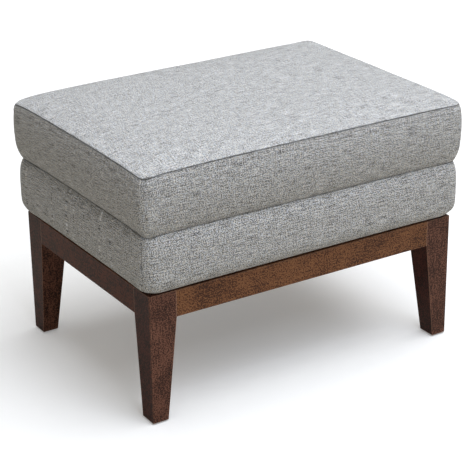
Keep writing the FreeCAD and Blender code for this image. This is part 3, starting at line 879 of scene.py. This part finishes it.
    def top_height(self, x: float, y: float, inside: float) -> float:
        """Height of the top panel over its seam: a tight lip, then the crown.

        Args:
            x: Place along the top panel.
            y: Place across the top panel.
            inside: Distance from the seam.

        Returns:
            Height above the seam.
        """
        crown = self.crown - self.lip
        for half, place in zip(self.half_sizes(), (x, y)):
            crown *= 1 - (1 - min((half - abs(place)) / self.crown_run, 1.0)) ** 2
        return self.lip * (1 - fade(inside, self.lip_run)) + crown

    def shape(self, piece: Object) -> None:
        """Crown the top panel, swell the boxing, draw in its foot and pull the seam in.

        Args:
            piece: The cover, square in section.
        """
        for vertex in piece.data.vertices:
            x, y, z = vertex.co
            dip, draw = self.corner_pull(x, y)
            if z > -SAME_PLACE:
                away = max(self.edge_distance(x, y), 0.0)
                height = self.top_height(x, y, away) - dip * fade(away, self.dip_run)
                outset = self.seam_outset - self.pinch * fade(away, self.pinch_run)
            else:
                away = -z
                height = z - dip * max(0.0, 1 - away / self.dip_depth)
                outset = self.side_outset(away, self.outline.firmness(x, y))
            outset -= draw * max(0.0, 1 - away / self.draw_depth) ** 2
            vertex.co = Vector((*self.outline.moved(x, y, self.seam_radius(), outset), self.seam + height))

    def settle(self, piece: Object) -> None:
        """Add the slight unevenness of hand-filled padding.

        Args:
            piece: The shaped cover.
        """
        normals = [vertex.normal.copy() for vertex in piece.data.vertices]
        for vertex, normal in zip(piece.data.vertices, normals):
            if vertex.co.z > self.bottom + self.flat_foot:
                vertex.co += normal * noise.noise(vertex.co * self.uneven_scale) * self.uneven

    def hold(self, piece: Object) -> list[float]:
        """Hold the cover at its seams and its bottom, and leave it free between them.

        Args:
            piece: The cover before it is shaped.

        Returns:
            How firmly each vertex is held, from 0 to 1.
        """
        weights = []
        for vertex in piece.data.vertices:
            x, y, z = vertex.co
            away = self.edge_distance(x, y) if z > -SAME_PLACE else -z
            weights.append(1.0 if -z > self.foot_drops[0] else max(0.0, 1 - away / self.held_run))
        return weights

    def build(self, material: Material) -> Object:
        """Build the finished cushion.

        Args:
            material: The cover's cloth.

        Returns:
            The cushion.
        """
        piece = self.block()
        self.lay_weave(piece)
        self.mark_seam_shade(piece)
        held = self.hold(piece)
        self.shape(piece)
        Workbench.puff(piece, held, self.puff_cap)
        self.settle(piece)
        Workbench.upholster(piece, material)
        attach(piece, "seat")
        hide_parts("cushion_top_panel", "cushion_boxing", "cushion_bottom_panel", "cushion_wadding",
                    "cushion_foam")
        return piece


@dataclass
class PaddedBand:
    """Padded band round the seat frame: cloth over padding, turned under the frame and over the deck.

    Outsets are measured from the base's faces and heights from the band's foot.
    """

    outline: Outline
    bottom: float
    top: float
    frame_outset: float = -2 * MM
    frame_radius: float = 19 * MM
    foot_radius: float = 28 * MM
    cloth: float = 1.2 * MM
    turn_under: float = 14 * MM
    turn_over: float = 26 * MM
    inner_rows: float = 30 * MM
    foot_outset: float = 0.0
    corner_foot_outset: float = 3.0 * MM
    foot_curve: float = 4.6
    foot_run: float = 16 * MM
    widest_outset: float = 12.4 * MM
    widest_height: float = 45 * MM
    crest_outset: float = 0.5 * MM
    corner_crest_outset: float = 7.5 * MM
    crest_curve: float = 3.4
    face_rows: int = 12
    row_closeness: float = 1.4
    seam_angles: Sequence[float] = (-2, 0, 2)
    corner_angles: Sequence[float] = (0, 8, 16, 34, 45, 56, 67, 79)
    pinch: float = 0.8 * MM
    # Strength of the painted shade down the upright seams.
    seam_shade_strength: float = 0.7
    cell: float = 9 * MM
    puff_cap: float = 1.2 * MM

    def columns(self) -> list[tuple[float, float]]:
        """Set out the band's columns, close together at the upright seams.

        Returns:
            Place of each column on the outline at the base's faces.
        """
        core_x, core_y = self.outline.core()
        radius = self.outline.corner_setback
        angles = [math.radians(step) for step in self.corner_angles]
        angles += [self.outline.seam_angle + math.radians(step) for step in self.seam_angles]
        turns = [Vector((math.cos(angle), math.sin(angle))) * radius for angle in sorted(angles)]
        corner = [(core_x + turn.x, core_y + turn.y) for turn in turns]
        across = round(2 * core_x / self.cell)
        front = [(core_x - 2 * core_x * step / across, core_y + radius) for step in range(across + 1)]
        up = round(2 * core_y / self.cell)
        side = [(-core_x - radius, core_y - 2 * core_y * step / up) for step in range(1, up)]
        half = corner + front + [(-x, y) for x, y in reversed(corner)] + side
        return half + [(-x, -y) for x, y in half]

    def rows(self) -> list[tuple[float, float]]:
        """Set out the rows all the way round the band's section.

        Returns:
            Outset and height above the floor of each row.
        """
        face = self.frame_outset
        under, over = self.bottom + self.cloth, self.top - self.cloth
        rise = self.top - self.bottom
        steps = [(step / self.face_rows) ** self.row_closeness for step in range(self.face_rows + 1)]
        below = [self.widest_height * step for step in steps[:-1]]
        above = [rise - (rise - self.widest_height) * step for step in reversed(steps)]
        heights = [self.bottom + height for height in below + above]
        return [
            *((self.face_outset(height, 0.0), height) for height in heights),
            (face, self.top), (face - self.turn_over, self.top), (face - self.turn_over, over), (face, over),
            (face, over - self.inner_rows), (face, under + self.inner_rows), (face, under),
            (face - self.turn_under, under), (face - self.turn_under, self.bottom),
        ]

    def face_outset(self, height: float, firmness: float) -> float:
        """Outset of the band's face, which rolls in towards the foot and the crest.

        Args:
            height: Height above the floor.
            firmness: 1 at a corner, 0 well along a side.

        Returns:
            Outset from the base's faces.
        """
        middle = self.bottom + self.widest_height
        if height < middle:
            share = ((middle - height) / self.widest_height) ** self.foot_curve
            end = between(self.foot_outset, self.corner_foot_outset, firmness)
        else:
            share = ((height - middle) / (self.top - middle)) ** self.crest_curve
            end = between(self.crest_outset, self.corner_crest_outset, firmness)
        return between(self.widest_outset, end, share)

    def place(self, column: tuple[float, float], outset: float, height: float) -> tuple[float, float]:
        """Place of a column on the outline at an outset, where inner outlines keep the frame's corner radius.

        Args:
            column: Place on the outline at the base's faces.
            outset: Outset from the base's faces.
            height: Height of the row, as the corners are rounder at the foot.

        Returns:
            Place on the outline at that outset.
        """
        setback = self.outline.corner_setback
        low = max(0.0, 1 - (height - self.bottom) / self.foot_run) if outset > self.frame_outset else 0.0
        radius = max(setback + outset, self.frame_radius)
        radius += max(self.foot_radius - radius, 0.0) * low
        near_x, near_y = self.outline.nearest_in_core(*column)
        core_x, core_y = self.outline.core()
        moved = setback + outset - radius
        x = near_x * (core_x + moved) / core_x + (column[0] - near_x) * radius / setback
        y = near_y * (core_y + moved) / core_y + (column[1] - near_y) * radius / setback
        return x, y

    @staticmethod
    def block(columns: int, rows: int) -> Object:
        """Model the band as a circle that is extruded row by row and closed to a ring.

        Args:
            columns: Number of columns round the outline.
            rows: Number of rows round the section.

        Returns:
            The ring, one metre apart from row to row.
        """
        piece = Workbench.primitive("circle", "padded_band", vertices=columns, radius=1)
        with Workbench.edit_mode("SELECT"):
            for step in range(rows - 1):
                bpy.ops.mesh.extrude_region_move(TRANSFORM_OT_translate={"value": (0, 0, 1)})
            Workbench.bridge_rims()
        return piece

    def shape(self, piece: Object, grid: list, columns: list, rows: list) -> list[float]:
        """Put each vertex in its place and mark painted shade on the upright seams for the cloth's material.

        Args:
            piece: The extruded ring.
            grid: Column and row of each vertex.
            columns: Place of each column on the outline.
            rows: Outset and height of each row.

        Returns:
            How firmly each vertex is held, from 0 to 1.
        """
        marks = piece.data.attributes.new("seam_shade", "FLOAT", "POINT")
        held = []
        for vertex, mark, (column, row) in zip(piece.data.vertices, marks.data, grid):
            at, (outset, height) = columns[column], rows[row]
            on_face = outset > self.frame_outset
            on_seam = on_face and self.outline.is_upright_seam(*at)
            if on_face:
                outset = self.face_outset(height, self.outline.firmness(*at))
            outset -= self.pinch * on_seam
            # Painted shade on the upright seams.
            mark.value = self.seam_shade_strength * on_seam
            vertex.co = Vector((*self.place(at, outset, height), height))
            held.append(0.0 if on_face and not on_seam else 1.0)
        Workbench.pick(piece)
        with Workbench.edit_mode("SELECT"):
            bpy.ops.mesh.normals_make_consistent(inside=False)
        return held

    def lay_weave(self, piece: Object, grid: list, columns: list, rows: list) -> None:
        """Give each panel its own cloth coordinates.

        Args:
            piece: The extruded ring.
            grid: Column and row of each vertex.
            columns: Place of each column on the outline.
            rows: Outset and height of each row.
        """
        layer = piece.data.uv_layers.new(name="weave")
        radius = self.outline.corner_setback + self.widest_outset
        for polygon in piece.data.polygons:
            places = [columns[grid[index][0]] for index in polygon.vertices]
            end_panel = self.outline.is_end_panel(*(sum(at) / len(places) for at in zip(*places)))
            for loop in polygon.loop_indices:
                column, row = grid[piece.data.loops[loop].vertex_index]
                outset, height = rows[row]
                run = self.outline.run(*columns[column], radius, end_panel)
                layer.data[loop].uv = (run, height + min(outset, 0.0))

    def build(self, material: Material) -> Object:
        """Build the finished band.

        Args:
            material: The band's cloth.

        Returns:
            The band.
        """
        columns, rows = self.columns(), self.rows()
        piece = self.block(len(columns), len(rows))
        turns = [math.atan2(vertex.co.y, vertex.co.x) / math.tau for vertex in piece.data.vertices]
        grid = [(round(turn * len(columns)) % len(columns), round(vertex.co.z))
                for turn, vertex in zip(turns, piece.data.vertices)]
        self.lay_weave(piece, grid, columns, rows)
        held = self.shape(piece, grid, columns, rows)
        Workbench.puff(piece, held, self.puff_cap)
        Workbench.upholster(piece, material)
        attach(piece, "seat")
        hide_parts("band_cover", "band_padding")
        return piece


@dataclass
class StretchedSheet:
    """Flat cloth stretched over the seat frame, slightly slack in the middle."""

    name: str
    node: str
    sag: float
    rests_on: Sequence[str]
    slot: str
    cell: float = 12 * MM
    ripple: float = 0.15
    ripple_scale: float = 4.0

    def build(self, material: Material) -> Object:
        """Build the sheet in the place of its CAD node.

        Args:
            material: The sheet's cloth.

        Returns:
            The sheet.
        """
        low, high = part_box(self.node)
        size, middle = high - low, (low + high) / 2
        across, up = round(size.x / self.cell), round(size.y / self.cell)
        piece = Workbench.primitive("grid", self.name, x_subdivisions=across, y_subdivisions=up, size=1)
        for vertex in piece.data.vertices:
            share_x, share_y = vertex.co.x * 2, vertex.co.y * 2
            slack = self.sag * (1 - share_x ** 2) ** 2 * (1 - share_y ** 2) ** 2
            slack *= 1 + self.ripple * noise.noise(Vector((share_x, share_y, 0)) * self.ripple_scale)
            vertex.co = Vector((middle.x, middle.y, high.z - slack)) + vertex.co * size
        Workbench.apply(piece, "SOLIDIFY", thickness=size.z, offset=-1)
        piece.data.shade_smooth()
        Workbench.dress(piece, material)
        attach(piece, "seat")
        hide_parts(self.node)
        return piece


@dataclass
class Webbing:
    """Woven straps over the seat frame, each of which goes over and under the ones that it crosses."""

    width: float = 60 * MM
    thickness: float = 1.5 * MM
    lap: float = 16 * MM
    lengthwise: int = 3
    crosswise: int = 4
    cell: float = 6 * MM
    cells_across: int = 6
    slope: float = 8 * MM
    edge_gap: float = 0.15 * MM

    def places(self, count: int, half_length: float) -> list[float]:
        """Space the straps evenly across the opening that the other layer's straps span.

        Args:
            count: Number of straps.
            half_length: Half of the length of the other layer's straps.

        Returns:
            Places of the straps' middle lines.
        """
        half_opening = half_length - self.lap
        pitch = 2 * half_opening / count
        return [pitch * (index + 0.5) - half_opening for index in range(count)]

    def strap(self, half_length: float, place: float, crossings: Sequence[float], first_over: bool,
              base: float) -> Object:
        """Model one strap along X.

        Args:
            half_length: Half of the strap's length.
            place: Place of its middle line across Y.
            crossings: Places along it of the straps that it crosses.
            first_over: True if it goes over the first of them.
            base: Height of the frame's top.

        Returns:
            The strap.
        """
        cells = {"x_subdivisions": round(2 * half_length / self.cell), "y_subdivisions": self.cells_across}
        piece = Workbench.primitive("grid", "strap", **cells, size=1)
        half_flat = self.width / 2 + self.thickness
        for vertex in piece.data.vertices:
            x = vertex.co.x * 2 * half_length
            nearest = min(range(len(crossings)), key=lambda index: abs(crossings[index] - x))
            down = min(max((abs(crossings[nearest] - x) - half_flat) / self.slope, 0.0), 1.0)
            lift = self.thickness * (1 - down) if (nearest % 2 == 0) == first_over else 0.0
            vertex.co = Vector((x, place + vertex.co.y * self.width, base + lift + self.edge_gap))
        Workbench.apply(piece, "SOLIDIFY", thickness=self.thickness - 2 * self.edge_gap, offset=1)
        return piece

    @staticmethod
    def layer(direction: str, straps: list[Object], turn: float, material: Material) -> Object:
        """Join the straps of one direction and turn them into place.

        Args:
            direction: The layer's direction, as in its CAD node's name.
            straps: Straps that run along X.
            turn: Angle to their own direction.
            material: The straps' cloth.

        Returns:
            The finished layer.
        """
        piece = Workbench.join(straps, "webbing_straps_" + direction)
        piece.data.transform(Matrix.Rotation(turn, 4, "Z"))
        piece.data.shade_smooth()
        Workbench.dress(piece, material)
        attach(piece, "seat")
        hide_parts("webbing_" + direction)
        return piece

    def build(self, material: Material) -> list[Object]:
        """Build both layers of straps.

        Args:
            material: The straps' cloth.

        Returns:
            The lengthwise and the crosswise straps.
        """
        low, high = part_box("webbing_lengthwise")
        half_x, half_y = high.x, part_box("webbing_crosswise")[1].y
        long_places, cross_places = self.places(self.lengthwise, half_y), self.places(self.crosswise, half_x)
        straps = []
        for index, place in enumerate(long_places):
            straps.append(self.strap(half_x, place, cross_places, index % 2 == 0, low.z))
        lengthwise = self.layer("lengthwise", straps, 0.0, material)
        straps = []
        for index, place in enumerate(cross_places):
            straps.append(self.strap(half_y, -place, long_places, index % 2 == 1, low.z))
        return [lengthwise, self.layer("crosswise", straps, math.pi / 2, material)]


@dataclass
class Fasteners:
    """Small screws and staples that hold the brackets, corner blocks and dust cover."""

    material: Material
    head_radius: float = 4.2 * MM
    head_height: float = 2.2 * MM
    dome: float = 0.45
    recess_rim: float = 0.2
    recess_depth: float = 0.4
    recess_taper: float = 0.5
    facing_up: float = 0.9
    base_screws: Sequence[float] = (-30 * MM, 0.0, 30 * MM)
    seat_screws: Sequence[float] = (-105 * MM, -55 * MM, 55 * MM, 105 * MM)
    strip_middle: float = 13 * MM
    block_face: float = 48 * MM
    block_heights: Sequence[float] = (10 * MM, 26 * MM)
    staple_length: float = 10 * MM
    staple_wire: float = 1.0 * MM
    staple_pitch: float = 28 * MM
    staple_setback: float = 5 * MM
    staple_bevel: float = 0.3
    staple_sink: float = 0.1
    smooth_angle: float = math.radians(35)

    def screw_head(self) -> Object:
        """Model a domed screw head with a round recess, which stands on the plane Z = 0.

        Returns:
            The screw head.
        """
        radius, height, up = self.head_radius, self.head_height, self.facing_up
        sizes = {"vertices": 16, "radius": radius, "depth": height, "location": (0, 0, height / 2)}
        piece = Workbench.primitive("cylinder", "screw_head", **sizes)
        with Workbench.faces_selected(piece, lambda face: face.normal.z > up):
            bpy.ops.mesh.bevel(offset=height * self.dome, segments=3)
        with Workbench.faces_selected(piece, lambda face: face.normal.z > up and face.center.z > height * up):
            bpy.ops.mesh.inset(thickness=radius * self.recess_rim)
            down = (0, 0, -height * self.recess_depth)
            bpy.ops.mesh.extrude_region_move(TRANSFORM_OT_translate={"value": down})
            bpy.ops.transform.resize(value=(self.recess_taper, self.recess_taper, 1))
        return piece

    def bracket_screws(self, side: str, outward: int) -> list[Object]:
        """Fix both brackets of one side with screws along the middle of their strips.

        Args:
            side: Side of the ottoman, as in the brackets' names.
            outward: Sign of the X direction that points out of that side.

        Returns:
            The base bracket's screws and the seat bracket's.
        """
        made = []
        rows = (("base", -outward, self.base_screws), ("seat", outward, self.seat_screws))
        for body, toward, places in rows:
            node = f"{body}_bracket_{side}"
            low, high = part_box(node)
            height = low.z + self.strip_middle if body == "base" else high.z - self.strip_middle
            face = high.x if toward > 0 else low.x
            turn = Matrix.Rotation(math.pi / 2 * toward, 4, "Y")
            moves = [Matrix.Translation((face, place, height)) @ turn for place in places]
            made.append(self.finish(Workbench.copy_at(self.screw_head(), moves, node + "_screws"), body))
        return made

    def block_screws(self) -> Object:
        """Fix each corner block with two screws through it into the leg.

        Returns:
            The screws.
        """
        low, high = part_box("base_corner_blocks")
        moves = []
        for side_x in (-1, 1):
            for side_y in (-1, 1):
                inward = Vector((-side_x, -side_y, 0)).normalized()
                foot = Vector((side_x * high.x, side_y * high.y, low.z)) + inward * self.block_face
                turn = inward.to_track_quat("Z", "Y").to_matrix().to_4x4()
                for rise in self.block_heights:
                    moves.append(Matrix.Translation(foot + Vector((0, 0, rise))) @ turn)
        return self.finish(Workbench.copy_at(self.screw_head(), moves, "corner_block_screws"), "base")

    def staples(self) -> Object:
        """Staple the dust cover to the frame round its edge.

        Returns:
            The staples.
        """
        low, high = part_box("dust_cover")
        wire = Workbench.primitive("cube", "staple", size=1)
        wire.data.transform(Matrix.Diagonal((self.staple_length, self.staple_wire, self.staple_wire, 1)))
        Workbench.apply(wire, "BEVEL", width=self.staple_wire * self.staple_bevel, segments=1)
        half_x, half_y = high.x - self.staple_setback, high.y - self.staple_setback
        height = low.z - self.staple_wire * self.staple_sink
        turn = Matrix.Rotation(math.pi / 2, 4, "Z")
        count_x, count_y = round(2 * half_x / self.staple_pitch), round(2 * half_y / self.staple_pitch)
        moves = []
        for side in (-1, 1):
            for index in range(count_x + 1):
                along = -half_x + index * 2 * half_x / count_x
                moves.append(Matrix.Translation((along, side * half_y, height)))
            for index in range(1, count_y):
                along = -half_y + index * 2 * half_y / count_y
                moves.append(Matrix.Translation((side * half_x, along, height)) @ turn)
        return self.finish(Workbench.copy_at(wire, moves, "dust_cover_staples"), "seat")

    def finish(self, piece: Object, body: str) -> Object:
        """Dress joined fasteners and let them ride on a body.

        Args:
            piece: The joined fasteners.
            body: Body that they ride on.

        Returns:
            The same object.
        """
        Workbench.pick(piece)
        bpy.ops.object.shade_smooth_by_angle(angle=self.smooth_angle)
        Workbench.dress(piece, self.material)
        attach(piece, body)
        return piece

    def build(self) -> list[Object]:
        """Build all fasteners."""
        made = [self.staples(), self.block_screws()]
        return made + self.bracket_screws("right", 1) + self.bracket_screws("left", -1)


@dataclass
class RigidPieces:
    """Finishes of the rigid pieces that come from the CAD model."""

    plain: dict[str, Material]

    @staticmethod
    def boards() -> dict[tuple[str, GrainAxis], Material]:
        """Build the woods' materials, with the legs stained darker.

        Returns:
            Material by slot and grain direction.
        """
        materials = {}
        for axis in GrainAxis:
            legs = axis is GrainAxis.ALONG_Z
            tones = ("#2b160f", "#4f2e24", "#704a3b") if legs else ("#371f12", "#643c25", "#7f5536")
            materials["stained_wood", axis] = StainedBeech(axis, *tones).material()
            materials["raw_pine", axis] = RawPine(axis).material()
        return materials

    def dress_all(self) -> None:
        """Give every visible CAD node its material, with the grain along the board."""
        boards = self.boards()
        slots = {part["node"]: part["material_slot"] for part in frame["record"]["subparts"]}
        for name, node in frame["nodes"].items():
            material = self.plain.get(slots[name]) or boards.get((slots[name], self.grain_of(name)))
            if material:
                Workbench.dress(node, material)

    @staticmethod
    def grain_of(name: str) -> GrainAxis:
        """Find the direction in which a wooden CAD node's grain runs.

        Args:
            name: Name of the node.

        Returns:
            Its longest direction, or upright for the blocks and legs.
        """
        if name.startswith("leg_") or name.endswith("blocks"):
            return GrainAxis.ALONG_Z
        low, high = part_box(name)
        return GrainAxis.ALONG_X if high.x - low.x > high.y - low.y else GrainAxis.ALONG_Y


@dataclass
class Studio:
    """Plain pale floor, soft light and the camera at the photograph's angle."""

    azimuth: float = math.radians(-32.22)
    elevation: float = math.radians(23.07)
    roll: float = math.radians(-0.72)
    place: tuple[float, float, float] = (-1.3721, -2.1773, 1.277)
    lens: float = 120.4
    floor_size: float = 14.0
    floor_bounce: str = "#c8c2b6"
    near_lift: float = 0.2
    far_lift: float = 0.9
    lift_span: tuple[float, float] = (0.8, 3.5)
    sky_light: float = 0.34
    sky_colour: str = "#fffaf1"
    aim: tuple[float, float, float] = (0, 0, 0.25)

    def camera(self) -> None:
        """Set the camera up."""
        data = bpy.data.cameras.new("photo_camera")
        data.lens = self.lens
        data.sensor_width = 36.0
        data.clip_end = 60.0
        camera = bpy.data.objects.new("photo_camera", data)
        bpy.context.scene.collection.objects.link(camera)
        bpy.context.scene.camera = camera
        back = Vector((math.sin(self.azimuth) * math.cos(self.elevation),
                       -math.cos(self.azimuth) * math.cos(self.elevation), math.sin(self.elevation)))
        turn = (-back).to_track_quat("-Z", "Y").to_matrix().to_4x4() @ Matrix.Rotation(self.roll, 4, "Z")
        camera.matrix_world = Matrix.Translation(self.place) @ turn

    def floor(self) -> None:
        """Lay the floor, which stays white for the camera outside the ottoman's shadow."""
        piece = Workbench.primitive("plane", "studio_floor", size=self.floor_size)
        sheet = NodeSheet(bpy.data.materials.new("studio_paper"))
        place = sheet.add("TexCoord", out="Object")
        tooth = sheet.add("TexNoise", {"Vector": place, "Scale": 40.0, "Detail": 2.0})
        paper = sheet.add("ValToRGB", {0: tooth}, stops={0.3: "#ebebeb", 0.7: "#eeeeee"})
        seen = sheet.add("LightPath", out="Is Camera Ray")
        choice = {"Factor": seen, MIX_FIRST: linear(self.floor_bounce), MIX_SECOND: paper}
        away = sheet.add("VectorMath", {0: place}, out="Value", operation="LENGTH")
        start, end = self.lift_span
        rise = sheet.add("MapRange", {
            "Value": away, "From Min": start, "From Max": end,
            "To Min": self.near_lift, "To Max": self.far_lift,
        })
        shader = sheet.add("BsdfPrincipled", {
            "Base Color": sheet.add("Mix", choice, out=MIXED, data_type="RGBA"),
            "Roughness": 0.9, "Specular IOR Level": 0.1, "Emission Color": linear("#ffffff"),
            "Emission Strength": sheet.add("Math", {0: seen, 1: rise}, operation="MULTIPLY"),
        })
        sheet.add("OutputMaterial", {"Surface": shader})
        Workbench.dress(piece, sheet.owner)

    def sky(self) -> None:
        """Light the scene evenly from all round, and show white where the camera looks past the floor."""
        bpy.context.scene.world = bpy.data.worlds.new("studio")
        sheet = NodeSheet(bpy.context.scene.world)
        seen = sheet.add("LightPath", out="Is Camera Ray")
        strength = sheet.add("MapRange", {"Value": seen, "To Min": self.sky_light, "To Max": 1.0})
        choice = {"Factor": seen, MIX_FIRST: linear(self.sky_colour), MIX_SECOND: linear("#ffffff")}
        tint = sheet.add("Mix", choice, out=MIXED, data_type="RGBA")
        sheet.add("OutputWorld", {"Surface": sheet.add("Background", {"Color": tint, "Strength": strength})})

    def lamp(self, name: str, place: Sequence[float], size: float, power: float, colour: str) -> None:
        """Hang a soft square lamp that faces the ottoman.

        Args:
            name: Name of the lamp.
            place: Place of the lamp.
            size: Side of the lamp.
            power: Power in watts.
            colour: Hex colour of its light.
        """
        data = bpy.data.lights.new(name, "AREA")
        data.color = linear(colour)[:3]
        data.size = size
        data.energy = power
        lamp = bpy.data.objects.new(name, data)
        bpy.context.scene.collection.objects.link(lamp)
        away = Vector(place) - Vector(self.aim)
        lamp.matrix_world = Matrix.Translation(place) @ away.to_track_quat("Z", "Y").to_matrix().to_4x4()

    def build(self) -> None:
        """Build the whole studio."""
        self.camera()
        self.floor()
        self.sky()
        self.lamp("key_lamp", place=(0.0, -2.0, 2.6), size=1.6, power=34, colour="#edf4ff")
        self.lamp("top_lamp", place=(0.6, -0.3, 2.8), size=2.8, power=87, colour="#f6faff")
        bpy.context.scene.view_settings.view_transform = "Standard"


def main() -> None:
    """Build the studio, dress the CAD nodes and make every soft piece and fastener."""
    logging.basicConfig(level=logging.INFO, format="%(message)s")
    Studio().build()
    zinc = CoatedSteel("zinc_plated_steel", "#a3a6a8", "#bcbfc1", 1.0, 0.38).material()
    RigidPieces({
        "zinc_steel": zinc,
        "black_steel": CoatedSteel("black_powder_coat", "#19191b", "#222224", 0.0, 0.5).material(),
        "nylon": MouldedPolymer("natural_nylon", "#d8d5cc", "#e4e2da", 0.45).material(),
        "rubber": MouldedPolymer("black_rubber", "#1c1c1d", "#262627", 0.8).material(),
    }).dress_all()
    linen = LinenWeave().material()
    jute = PlainCloth("jute_webbing", "#8a7048", "#b89a68", 2.2 * MM).material()
    calico = PlainCloth("calico", "#c8c4b8", "#dedbd0", 1.0 * MM).material()
    cambric = PlainCloth("black_cambric", "#141415", "#242426", 0.9 * MM).material()
    base_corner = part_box("leg_front_left")[0]
    faces = (-base_corner.x, -base_corner.y)
    cushion_low, cushion_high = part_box("cushion_bottom_panel")[0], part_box("cushion_boxing")[1]
    band_low, band_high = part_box("band_cover")
    made = [
        BoxedCushion(Outline(*faces, corner_setback=6 * MM), cushion_low.z, cushion_high.z).build(linen),
        PaddedBand(Outline(*faces, corner_setback=9 * MM), band_low.z, band_high.z).build(linen),
        StretchedSheet("deck_sheet", "deck_cloth", 0.0, ["webbing_lengthwise"], "deck_cloth").build(calico),
        StretchedSheet("dust_sheet", "dust_cover", 2.0 * MM, ["band_cover"], "dust_cloth").build(cambric),
        *Webbing().build(jute),
        *Fasteners(zinc).build(),
    ]
    for piece in made:
        LOG.info("%s: %d vertices", piece.name, len(piece.data.vertices))


if __name__ == "__main__":
    main()
